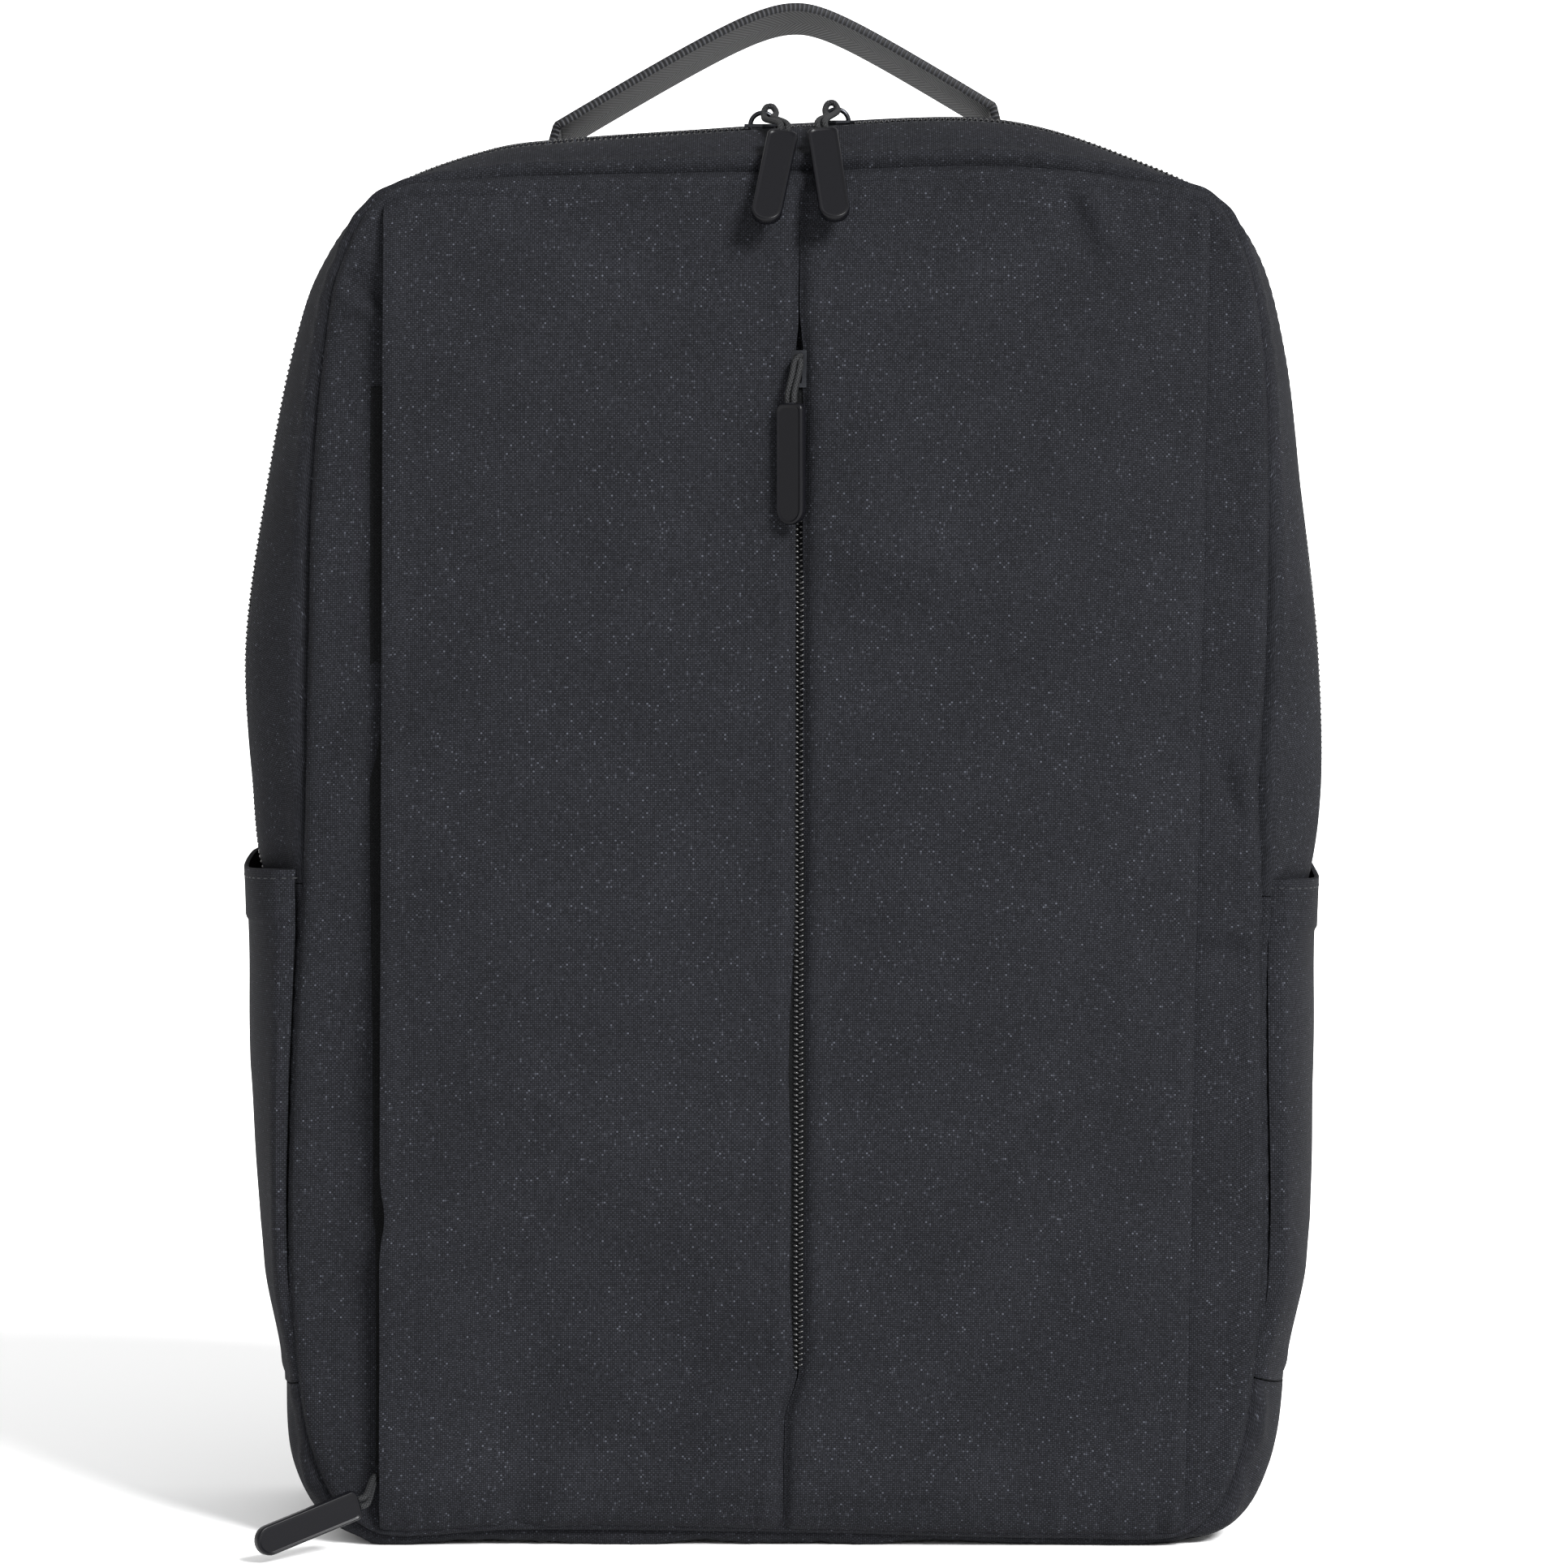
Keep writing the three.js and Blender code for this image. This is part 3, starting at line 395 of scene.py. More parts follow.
def sineOf(tree, distance, pitch):
    turns = mathNode(tree, "MULTIPLY", distance, 2 * math.pi / pitch)
    return mathNode(tree, "SINE", turns)


# Polyester in a plain weave of 0.62 mm threads, solution dyed with a few paler filaments, which gives the eye
# a matt charcoal with a fine grain and light flecks.
# The dark between the threads and the pale on their crowns are painted shade and painted highlight.
def wovenPolyester(name, dark="#08080a", pale="#232428", fleck="#3a3c42", thread=0.62, relief=0.1,
                   onObject=False):
    material, tree = newMaterial(name)
    if onObject:  # a piece without a UV map, whose face is towards the back: threads along x and z
        place = addNode(tree, "ShaderNodeTexCoord")
        flat = addNode(tree, "ShaderNodeSeparateXYZ", None, {0: place.outputs["Object"]}).outputs
        source = addNode(tree, "ShaderNodeCombineXYZ", None, {0: flat[0], 1: flat[2]})
        threads = 1 / (thread * mm)
    else:
        source = addNode(tree, "ShaderNodeUVMap", {"uv_map": "cloth"})
        threads = 1 / thread
    weave = addNode(tree, "ShaderNodeMapping", None,
                    {"Vector": source.outputs[0], "Scale": (threads, threads, 1), "Location": (0, 0, 0.5)})
    weave = weave.outputs[0]
    parts = addNode(tree, "ShaderNodeSeparateXYZ", None, {0: weave}).outputs
    crossing = addNode(tree, "ShaderNodeTexChecker", None,
                       {"Vector": weave, "Color1": (0, 0, 0, 1), "Color2": (1, 1, 1, 1), "Scale": 1.0})
    crossing = crossing.outputs["Fac"]
    rounds = [mathNode(tree, "MULTIPLY", mathNode(tree, "PINGPONG", parts[axis], 0.5), 2.0)
              for axis in (0, 1)]  # 0 between two threads, 1 on the crown of one
    crowns = []
    for over, under in (rounds, rounds[::-1]):
        sides, ends = mathNode(tree, "POWER", over, 0.75), mathNode(tree, "POWER", under, 0.4)
        crowns.append(mathNode(tree, "MULTIPLY", sides, ends))
    height = addNode(tree, "ShaderNodeMix", {"data_type": "FLOAT"},
                     {0: crossing, 2: crowns[0], 3: crowns[1]}).outputs[0]
    cell = addNode(tree, "ShaderNodeVectorMath", {"operation": "FLOOR"}, {0: weave})
    chance = addNode(tree, "ShaderNodeTexWhiteNoise", {"noise_dimensions": "2D"},
                     {"Vector": cell.outputs[0]}).outputs["Value"]
    cloud = addNode(tree, "ShaderNodeTexNoise", None,
                    {"Vector": weave, "Scale": 0.02, "Detail": 3.0, "Roughness": 0.5})
    pickedOut = remap(tree, chance, (0.97, 1.0), (0.0, 1.0))  # three threads in a hundred
    # painted shade and highlight: dark between the threads, pale on their crowns, following the weave's
    # height
    colour = blend(tree, height, linear(dark), linear(pale))
    colour = blend(tree, mathNode(tree, "MULTIPLY", pickedOut, height), colour, linear(fleck))
    uneven = remap(tree, chance, (0.0, 1.0), (0.72, 1.28))
    weft = remap(tree, crossing, (0.0, 1.0), (0.8, 1.2))
    worn = remap(tree, cloud.outputs["Fac"], (0.3, 0.7), (0.9, 1.1))
    for share in (uneven, weft, worn):
        colour = shaded(tree, colour, share)
    surface = {"Roughness": 0.85, "IOR": 1.5, "Specular IOR Level": 0.06}
    finishMaterial(tree, surface, colour, bumped(tree, height, relief))
    return material


# Polyester webbing, woven in slanted ribs 1.45 mm apart, in two rows that meet down the middle, which gives
# the eye a satin herringbone.
# Its colour is painted dark in the gaps between the ribs and pale on their crests: painted shade and painted
# highlight.
def ribbedWebbing(name, dark="#070708", pale="#303135", rib=1.45, slant=0.6, yarn=0.4):
    material, tree = newMaterial(name)
    parts = clothParts(tree)
    side = mathNode(tree, "ABSOLUTE", parts[0])
    wave = sineOf(tree, mathNode(tree, "MULTIPLY_ADD", side, slant, parts[1]), rib)
    rise = remap(tree, wave, (-0.5, 1.0), (0.0, 1.0))
    crown = remap(tree, mathNode(tree, "PINGPONG", parts[0], yarn), (0.0, yarn), (0.35, 1.0))
    height = mathNode(tree, "MULTIPLY", rise, crown)
    surface = {"Roughness": 0.6, "IOR": 1.5, "Specular IOR Level": 0.2}
    # painted shade in the gaps between the ribs and painted highlight on their crests, following the ribs'
    # height
    colour = blend(tree, height, linear(dark), linear(pale))
    finishMaterial(tree, surface, colour, bumped(tree, height, 0.3))
    return material


# Moulded, drawn or cast stuff of one colour, with a fine grain.
def smoothPlain(name, colour, surface, grain=0.6, relief=0.02):
    material, tree = newMaterial(name)
    place = addNode(tree, "ShaderNodeTexCoord")
    scaled = addNode(tree, "ShaderNodeMapping", None,
                     {"Vector": place.outputs["Object"], "Scale": (1 / (grain * mm),) * 3})
    noise = addNode(tree, "ShaderNodeTexNoise", None,
                    {"Vector": scaled.outputs[0], "Scale": 1.0, "Detail": 3.0}).outputs["Fac"]
    shade = shaded(tree, linear(colour)[:3], remap(tree, noise, (0.3, 0.7), (0.85, 1.12)))
    finishMaterial(tree, surface, shade, bumped(tree, noise, relief, 0.5))
    return material


# Braided polyester cord: two sets of yarns that cross, 1.1 mm apart. Painted shade between the yarns and
# painted highlight on their crowns.
def braidedCord(name, dark="#050506", pale="#141517", yarn=1.1):
    material, tree = newMaterial(name)
    parts = clothParts(tree)
    waves = [sineOf(tree, mathNode(tree, "MULTIPLY_ADD", parts[0], way, parts[1]), yarn)
             for way in (1.0, -1.0)]
    height = mathNode(tree, "MAXIMUM", *waves)
    surface = {"Roughness": 0.6, "IOR": 1.5, "Specular IOR Level": 0.25}
    # painted shade and highlight: dark between the yarns, pale on their crowns, following the braid's height
    colour = blend(tree, remap(tree, height, (-0.6, 1.0), (0.0, 1.0)), linear(dark), linear(pale))
    finishMaterial(tree, surface, colour, bumped(tree, height, 0.15))
    return material


foamCloth = {"dark": "#0a0b0d", "pale": "#1b1c1f", "fleck": "#34363b"}
# Polyester cloth of the bag: matt charcoal with light flecks.
bagCloth = wovenPolyester("woven polyester")
# The same cloth over foam, which looks more even.
padCloth = wovenPolyester("woven polyester over foam", **foamCloth)
padFoamCloth = wovenPolyester("woven polyester over strap foam", **foamCloth, onObject=True)
# Knitted polyester zip tape, which is finer and darker than the cloth.
tapeCloth = wovenPolyester("knitted zip tape", dark="#060607", pale="#101112", fleck="#18191b",
                           thread=0.5, relief=0.08)
# Polyester webbing: herringbone for the handle, plain ribs for the straps and the pads' binding.
handleWeb = ribbedWebbing("herringbone webbing")
strapWeb = ribbedWebbing("flat ribbed webbing", slant=0.0, rib=1.5, pale="#202124")
bindingTape = ribbedWebbing("binding tape", slant=0.0, rib=1.1, pale="#1c1d1f")
# Monofilament nylon, smooth and slightly glossy.
coilNylon = smoothPlain("nylon coil", "#0b0b0c", {"Roughness": 0.3, "IOR": 1.53})
# Spun polyester thread, paler than the cloth.
threadPolyester = smoothPlain("polyester sewing thread", "#1a1b1d",
                              {"Roughness": 0.6, "IOR": 1.5, "Specular IOR Level": 0.25})
# Soft plastic of the pull tabs, satin black.
tabPlastic = smoothPlain("moulded soft-touch plastic", "#09090c",
                         {"Roughness": 0.32, "IOR": 1.5, "Specular IOR Level": 0.12})
# Acetal of the ladder locks, matt black.
lockPlastic = smoothPlain("moulded acetal", "#0c0d0e",
                          {"Roughness": 0.5, "IOR": 1.48, "Specular IOR Level": 0.3})
# Cast zinc under dark lacquer.
sliderZinc = smoothPlain("lacquered zinc", "#2c2d30", {"Roughness": 0.28, "Metallic": 1.0})
# Braided polyester, nearly black.
cordBraid = braidedCord("braided cord")
print("materials made")

# Soft folds and dents. x and z are where each one lies seen from the front, angle is its
# direction from level, and height is outwards (a minus sign is a dent). Millimetres, degrees.
foldColumns = ("piece", "x", "z", "angle", "long", "wide", "height")
foldRows = [
    ("left", -78, 400, -20, 26, 10, -1.2),  # soft dent near the top left
    ("left", -60, 330, 62, 80, 26, -0.8),
    ("left", -95, 250, 84, 70, 22, 0.9),
    ("left", -30, 120, 40, 60, 24, -0.8),
    ("left", -78, 11, 62, 10, 4, -1.0),  # wrinkle at the bottom seam
    ("left", -66, 9, 70, 8, 3, 0.7),
    ("left", -98, 96, 20, 34, 9, 0.9),
    ("right", 87, 394, -66, 12, 5, -1.8),  # pucker at the top seam
    ("right", 93, 392, -66, 12, 4, 1.0),
    ("right", 30, 295, -22, 42, 13, 1.5),  # light band right of the centre pull
    ("right", 36, 276, -24, 46, 12, -0.9),
    ("right", 70, 180, 78, 80, 26, 0.9),
    ("right", 96, 120, 70, 60, 20, -0.8),
    ("right", 60, 70, 12, 60, 18, 0.8),
    ("front", -126, 368, -14, 12, 2.6, 1.6),  # left strip, fold with a facet above
    ("front", -126, 375, -30, 13, 5, -1.4),
    ("front", 134, 224, -62, 14, 4, -2.2),  # pinch in the right strip
    ("front", 138, 219, -62, 13, 3.5, 1.6),
    ("front", 134, 183, 3, 12, 2.6, 1.8),  # crease across the right strip
    ("front", 135, 178, 3, 12, 4, -1.2),
    ("front", 142, 92, 86, 34, 3, -2.0),  # groove that runs down the right strip
    ("front", -128, 232, 74, 30, 6, 0.9),
    ("front", -131, 120, 86, 44, 7, -0.9),
]
folds = [dict(zip(foldColumns, row)) for row in foldRows]


def foldHeight(piece, x, z):
    height = np.zeros_like(x)
    for fold in folds:
        if fold["piece"] == piece:
            angle = math.radians(fold["angle"])
            along = (x - fold["x"]) * math.cos(angle) + (z - fold["z"]) * math.sin(angle)
            off = (z - fold["z"]) * math.cos(angle) - (x - fold["x"]) * math.sin(angle)
            height += fold["height"] * hump(along, fold["long"]) * hump(off, fold["wide"])
    return height


def slack(x, z, size, height, turn):  # a slow unevenness, as cloth has that isn't under tension
    a = np.sin(x / size + turn) * np.sin(z / (size * 1.7) + 1.3 * turn)
    b = np.sin((x + z) / (size * 0.71) + 2.1 * turn) * np.sin((x - 1.6 * z) / (size * 1.3) + turn)
    return height * (0.6 * a + 0.4 * b)


seam = {
    "cut": 2.4, "cutWidth": 0.75, "groove": 0.7, "grooveWidth": 2.4,
    "roll": 0.5, "rollAt": 4.6, "rollWidth": 2.8, "topRoll": 1.5, "topRollAt": 2.8, "topRollWidth": 2.2,
}


def seamProfile(distance, depth=1.0):  # how far cloth stands out at this distance from a seam
    groove = -seam["groove"] * hump(distance, seam["grooveWidth"])
    groove = groove - seam["cut"] * hump(distance, seam["cutWidth"])
    roll = seam["roll"] * hump(distance - seam["rollAt"], seam["rollWidth"])
    return depth * (groove + roll)


def puckers(distance, along, height=0.16, pitch=9.0):  # small gathers that a seam draws up
    wave = np.sin(2 * math.pi * along / pitch + 1.7 * np.sin(along / 31.0))
    return height * wave * hump(distance - 4, 6)


def edgeDistance(grid, sides):  # along the cloth to the nearest of the named sides
    u, v = lengths(grid)
    choices = {"left": u - u[:, [0]], "right": u[:, [-1]] - u, "low": v - v[[0], :], "high": v[[-1], :] - v}
    return np.minimum.reduce([choices[side] for side in sides])


def patch(edgeAt, s, t):
    low, high = rowOf("baseLeftCorner"), rowOf("topLeftCorner")
    lowRight, highRight = rowOf("baseRightCorner"), rowOf("topRightCorner")
    s3, t3 = s[..., None], t[..., None]
    bottom = edgeAt(lerp(low, lowRight, s))
    top = edgeAt(lerp(high, highRight + around, s))
    left = edgeAt(lerp(low, high, t))
    right = edgeAt(lerp(lowRight, highRight, t))
    corners = edgeAt(np.array(low)) * (1 - s3) * (1 - t3) + edgeAt(np.array(lowRight)) * s3 * (1 - t3)
    corners = corners + edgeAt(np.array(high)) * (1 - s3) * t3 + edgeAt(np.array(highRight)) * s3 * t3
    return bottom * (1 - t3) + top * t3 + left * (1 - s3) + right * s3 - corners


def nearer(s, share=0.9):  # finer towards both ends, where the seams are
    return lerp(s, 0.5 - 0.5 * np.cos(math.pi * s), share)


def seamEdge(row):
    x, z = frontSeam(row)
    return np.stack([x, np.zeros_like(x), z], -1)


frontPanel = {"cells": (144, 176), "freeFrom": 108, "freeTo": 122, "folds": 1.5, "most": 2.6}
backPanel = {  # the padding swells between sewn channels
    "cells": (130, 170), "swell": 2.2, "channel": 2.6, "across": (120, 210, 300), "sag": 0.00035 * 8,
    "acrossTo": 120, "frameAt": 122, "wallLess": 0.5,
}


def makeFrontPanel():
    grid = gridOf(*frontPanel["cells"], lambda s, t: patch(seamEdge, nearer(s), nearer(t)))
    x, z = grid[..., 0], grid[..., 2]
    grid[..., 1] = frontY(x, z)
    rim = edgeDistance(grid, ("left", "right", "low", "high"))
    out = seamProfile(rim) + puckers(rim, x * 0.7 + z) * 0.8
    # free cloth beside the overlay; elsewhere the overlay lies close over it
    free = smooth(np.abs(x), frontPanel["freeFrom"], frontPanel["freeTo"]) * smooth(rim, 0, 10)
    out = out * np.maximum(free, smooth(12 - rim, 0, 12))
    out = out + frontPanel["folds"] * foldHeight("front", x, z) * free
    grid[..., 1] -= np.minimum(out, frontPanel["most"])
    clothPiece("frontPanel", grid, bag["cloth"], bagCloth, ["front_panel"], "bag_cloth")


def makeBackPanel():
    def at(s, t):
        return patch(lambda row: bodyPoint(row, 1.0), nearer(s), nearer(t))

    grid = gridOf(*backPanel["cells"], at)
    x, z = grid[..., 0], grid[..., 2]
    grid[..., 1] = backY(x, z)
    rim = edgeDistance(grid, ("left", "right", "low", "high"))
    channel = hump(x, 3.5) * smooth(z, 40, 70) * (1 - smooth(z, 330, 350))
    for level in backPanel["across"]:
        line = hump(z - level - backPanel["sag"] * x * x, 3.0)
        channel = np.maximum(channel, line * smooth(backPanel["acrossTo"] - np.abs(x), 0, 12))
    frameLine = hump(np.abs(x) - backPanel["frameAt"], 2.6) * smooth(z, 38, 44) * (1 - smooth(z, 346, 352))
    out = backPanel["swell"] * smooth(rim, 2, 26) - backPanel["channel"] * np.maximum(channel, frameLine)
    grid[..., 1] += out + seamProfile(rim) * 0.8
    clothPiece("backPanel", grid, bag["padding"] - backPanel["wallLess"], padCloth,
                             ["back_panel"], "padded_cloth",
                             normals=np.broadcast_to(np.array([0, 1.0, 0]), grid.shape))


def frontStart(row):
    return depthShare(bag["cloth"] + bag["seamGap"], row)


def backEnd(row):
    return 1 - depthShare(bag["padding"] + bag["seamGap"], row)


def zipEdge(side, room):
    return lambda row: bag["mainZip"] + side * depthShare(bag["tapeWidth"] / 2 + room, row)


def stripGrid(rows, depths, columns, deep):
    def at(s, t):
        row = lerp(rows[0], rows[1], s)
        return bodyPoint(row, lerp(depths[0](row), depths[1](row), nearer(t)))
    return gridOf(columns, deep, at)


def makeWall(name, node, rows, depths, cells, wall, seams, extra):
    grid = stripGrid(rows, depths, *cells)
    normals = normalsOf(grid)
    out = np.zeros(grid.shape[:2])
    u, v = lengths(grid)
    for side in seams:
        rim = edgeDistance(grid, (side,))
        out += seamProfile(rim) + puckers(rim, u if side in ("low", "high") else v)
        if name == "gussetFront" and side == "low":  # the seam allowance makes a roll over the top
            roll = seam["topRoll"] * hump(rim - seam["topRollAt"], seam["topRollWidth"])
            out += roll * smooth(grid[..., 2], 375, 395)
    out += extra(grid, u, v)
    grid = grid + normals * out[..., None]
    grid[..., 2] = np.maximum(grid[..., 2], 0.0)
    clothPiece(name, grid, wall, bagCloth, [node], "bag_cloth", turnUv=True)


wallWaves = {
    "size": 26, "height": 0.5, "creaseX": -148, "creaseZ": 205, "creaseLean": 0.04, "crease": 1.6,
    "baseSize": 22, "baseHeight": 0.6, "gather": 0.9,
}


def gussetWaves(grid, u, v):
    x, z = grid[..., 0], grid[..., 2]
    off = x - wallWaves["creaseX"] - (z - wallWaves["creaseZ"]) * wallWaves["creaseLean"]
    crease = hump(off, 7) * smooth(z, 170, 190) * (1 - smooth(z, 225, 235))  # beside the left pocket's hem
    return slack(u, v * 2, wallWaves["size"], wallWaves["height"], 1.0) - wallWaves["crease"] * crease


def makeWalls():
    overTop, both = (zipEndLeft, zipEndRight + around), ("low", "high")
    gap, wall, sides = bag["seamGap"], bag["cloth"], (frontStart, backEnd)
    step = 0.02  # of a row, between a side panel and its neighbours
    atRight, atLeft = (zipEndRight + step, baseSeamRight - step), (baseSeamLeft + step, zipEndLeft - step)
    beforeZip, behindZip = (frontStart, zipEdge(-1, gap)), (zipEdge(1, gap), backEnd)
    makeWall("gussetFront", "gusset_front", overTop, beforeZip, (420, 26), wall, ("low",), gussetWaves)
    makeWall("gussetRear", "gusset_rear", overTop, behindZip, (420, 30), wall, ("high",), gussetWaves)
    makeWall("sidePanelRight", "side_panel_right", atRight, sides, (150, 60), wall, both, gussetWaves)
    makeWall("sidePanelLeft", "side_panel_left", atLeft, sides, (150, 60), wall, both, gussetWaves)
    makeWall("basePanel", "base_panel", (baseSeamRight, baseSeamLeft), sides, (220, 60), bag["baseCloth"],
             both, baseWaves)


def baseWaves(grid, u, v):
    flat = smooth(grid[..., 2], 0.5, 12)
    rim = edgeDistance(grid, ("low",))
    gathers = wallWaves["gather"] * np.sin(u / 7.5 + 2 * np.sin(u / 23)) * hump(rim - 5, 5)
    waves = slack(u, v, wallWaves["baseSize"], wallWaves["baseHeight"], 2.0)
    return waves * flat + gathers * smooth(np.abs(u), 0, 30)


makeFrontPanel()
makeBackPanel()
makeWalls()
print("body panels made")

overlay = {
    "wall": 1.3, "leftEdgeLift": 4.6, "rightEdgeLift": 1.0, "rise": 4.8, "centreRise": 4.2,
    "footEase": 0.03, "headEase": 0.1, "slit": 1.2, "slitShut": 0.1, "slitOpen": 2.0, "slitHead": 1.6,
    "zipOffset": 4.4, "zipBend": (0.09, 0.13), "zipFoot": 52, "zipHead": 362, "headDrop": 60,
    "openTo": 338, "headAt": 356, "inset": 0.004, "cells": (80, 220), "folds": 1.7,
    "leftSag": 5.0, "rightSag": 3.4, "underSeam": 2.6, "foldedEdge": 1.9, "kinkAt": 99,
}


def zipLineX(z):
    return overlay["zipOffset"] * smooth(z / bag["height"], *overlay["zipBend"])


def overlayRoom(edge, up, lift):
    ends = np.minimum(1, up / overlay["footEase"]) * np.minimum(1, (1 - up) / overlay["headEase"])
    swell = overlay["rise"] * np.sin(math.pi * edge).clip(0) ** 0.8 * np.sin(math.pi * up).clip(0) ** 0.6
    rims = lift * (1 - edge) ** 2 + overlay["centreRise"] * edge ** 2
    return bag["seamGap"] * 1.5 + ends * (rims + swell)


def overlayPoint(side, edge, up, lift, slit=None):
    edge, up = np.broadcast_arrays(np.asarray(edge, float), np.asarray(up, float))
    topEnd = rowOf("topRightCorner") + around if side > 0 else rowOf("topLeftCorner")
    baseEnd = rowOf("baseRightCorner") if side > 0 else rowOf("baseLeftCorner")
    inset = overlay["inset"]
    share = lerp(inset, 1 - inset, up)
    topX, topZ = frontSeam(lerp(topEnd, around, edge))
    lowX, lowZ = frontSeam(lerp(baseEnd, rowOf("baseMiddle"), edge))
    z = lerp(lowZ, topZ, share)
    width = overlay["slit"] if slit is None else slit(z)
    x = lerp(lowX, topX, share) + edge ** 3 * (zipLineX(z) * (1 - share) + side * width / 2)
    edgeLift = overlay["rightEdgeLift"] if side > 0 else overlay["leftEdgeLift"]
    y = frontY(x, z) - overlayRoom(edge, up, edgeLift) - lift
    return np.stack([x, y, z], -1)


def slitAt(z):  # shut by a seam above and below the zip, a little open along it
    opened = smooth(z, overlay["zipFoot"] - 8, overlay["zipFoot"] + 30)
    opened = opened * (1 - smooth(z, overlay["openTo"], overlay["zipHead"]))
    head = overlay["slitHead"] * hump(z - overlay["headAt"], 7)
    return overlay["slitShut"] + overlay["slitOpen"] * opened + head


def makeOverlay(side):
    word = "right" if side > 0 else "left"

    def at(s, t):
        fromEdge = 0.5 - 0.5 * np.cos(math.pi * s)  # finer at both edges
        return overlayPoint(side, lerp(s, fromEdge, 0.8), nearer(t, 0.7), overlay["wall"], slitAt)

    grid = gridOf(*overlay["cells"], at)
    x, z = grid[..., 0].copy(), grid[..., 2].copy()
    outer = edgeDistance(grid, ("left",))
    inner = edgeDistance(grid, ("right",))
    ends = edgeDistance(grid, ("low", "high"))
    out = overlay["folds"] * foldHeight(word, x, z)
    out += slack(x, z, 30, 1.5, 3.0 + side) * smooth(ends, 0, 40)
    out += slack(x, z, 12, 0.2, 5.0 + side) * smooth(ends, 0, 15)
    low = (1 - smooth(z, 66, 108)) * smooth(ends, 0, 30) * smooth(inner, 6, 40) * smooth(outer, 13, 48)
    out -= overlay[word + "Sag"] * low  # sinks below the fold at the side pull's kink
    top = edgeDistance(grid, ("high",))
    out -= overlay["underSeam"] * hump(top, 2.8)  # lies back in the channel under the top seam
    out += 0.5 * hump(inner - 5, 2.6) - overlay["foldedEdge"] * hump(inner, 1.7)
    out += seamProfile(ends) * 0.7 + puckers(ends, x, 0.3, 8.0)
    if side > 0:
        out += 0.5 * hump(outer - 3, 3) - 0.6 * hump(outer, 1.6)
    else:
        notch = hump(z - overlay["kinkAt"], 7) * hump(outer, 9)  # the edge kinks above the side zip's pull
        grid[..., 0] += 1.4 * notch
        out += 0.5 * hump(outer - 3, 3) - 0.8 * notch
    grid[..., 1] -= out
    middle = np.array([x.mean(), 0, 210.0])  # a point inside the bag
    clothPiece("overlay" + word.capitalize(), grid, overlay["wall"], bagCloth, ["overlay_" + word],
               "bag_cloth", normals=normalsOf(grid, middle))


for side in (-1, 1):
    makeOverlay(side)
print("overlay made")

pocket = {
    "wall": 1.4, "backEdge": 0.93, "hem": 16, "hemThick": 0.7, "stitchIn": 2.6,
    "ease": 0.3, "footStep": 0.04,
}
pocketFace = {
    "rightWidest": 0.98, "rightAtHem": 0.98, "rightUnderHem": 0.981, "rightLower": 0.98,
    "rightLow": 0.975, "rightBaseSeam": 0.948, "rightFoot": 0.9,
    "leftFoot": -0.905, "leftBaseSeam": -0.938, "leftLow": -0.967, "leftLower": -0.985,
    "leftUnderHem": -0.988, "leftAtHem": -0.988, "leftWidest": -0.988,
}


def makePocket(name, node, rows):
    faces = np.array([pocketFace.get(place, 0.0) for place in places])

    def at(s, t):
        row = lerp(rows[0], rows[1], t)
        point = bodyPoint(row, lerp(frontStart(row), pocket["backEdge"], s))
        way = np.sign(point[..., 0])
        free = smooth(t, 0, 0.2)  # flush with the base at its foot
        sewn = np.abs(point[..., 0]) + pocket["ease"] + pocket["wall"] * free
        opened = np.maximum(sewn, np.abs(between(row, faces)) * bag["halfWidth"])
        point[..., 0] = way * lerp(sewn, opened, np.sin(math.pi * s).clip(0) ** 0.5 * free)
        return point

    grid = gridOf(80, 120, at)
    normals = normalsOf(grid)
    hem = edgeDistance(grid, ("high",))
    rim = edgeDistance(grid, ("left", "right", "low"))
    out = pocket["hemThick"] * (1 - smooth(hem, pocket["hem"] - 1, pocket["hem"] + 0.5)) * smooth(rim, 0, 6)
    out += seamProfile(rim) * 0.6
    u, v = lengths(grid)
    out += slack(u, v, 17, 0.5, 4.0) * smooth(rim, 2, 14) * smooth(hem, 4, 20)
    grid = grid + normals * out[..., None]
    clothPiece(name, grid, pocket["wall"], bagCloth, [node], "bag_cloth")


for word, foot, way in (("left", baseSeamLeft, 1), ("right", baseSeamRight, -1)):
    makePocket("sidePocket" + word.capitalize(), "side_pocket_" + word,
               (foot + way * pocket["footStep"], rowOf(word + "AtHem")))
print("side pockets made")

handle = {
    "width": 22, "wall": 2.6, "rise": 37.4, "depth": 0.865, "tilt": 20, "peakShift": 4, "rounding": 0.2,
    "rootGap": 0.25, "leftShift": 0.26, "tuck": 5.5, "tuckFrom": 0.965,  # its ends go down into the seam
}


def handleGrid(columns, rows):
    left = bodyPoint(np.array(rowOf("handleRootLeft") - handle["leftShift"]), handle["depth"])
    right = bodyPoint(np.array(rowOf("handleRootRight")), handle["depth"])
    tilt = math.radians(handle["tilt"])

    def rounded(share):
        return np.sqrt(share * share + handle["rounding"] ** 2) - handle["rounding"]

    def at(s, t):
        run = 2 * s - 1
        leftSide = run < 0
        rootX, rootY, rootZ = (np.where(leftSide, left[k], right[k]) for k in range(3))
        x = lerp(handle["peakShift"], rootX, np.abs(run))
        peak = (left[2] + right[2]) / 2 + handle["rise"]
        z = lerp(peak, rootZ + handle["wall"] + handle["rootGap"], rounded(run) / rounded(1.0))
        z = z - handle["tuck"] * smooth(np.abs(run), handle["tuckFrom"], 1.0)
        across = (t - 0.5) * handle["width"]
        return np.stack([x, rootY + across * math.cos(tilt), z - across * math.sin(tilt)], -1)

    return gridOf(columns, rows, at)


def makeHandle():
    grid = handleGrid(220, 20)
    clothPiece("carryHandle", grid, handle["wall"], handleWeb, ["carry_handle"], "webbing", turnUv=True)


makeHandle()
print("handle made")

bead = {"Segments": 6, "Rings": 4, "Radius": 0.5}  # what a tooth or a stitch is stretched from


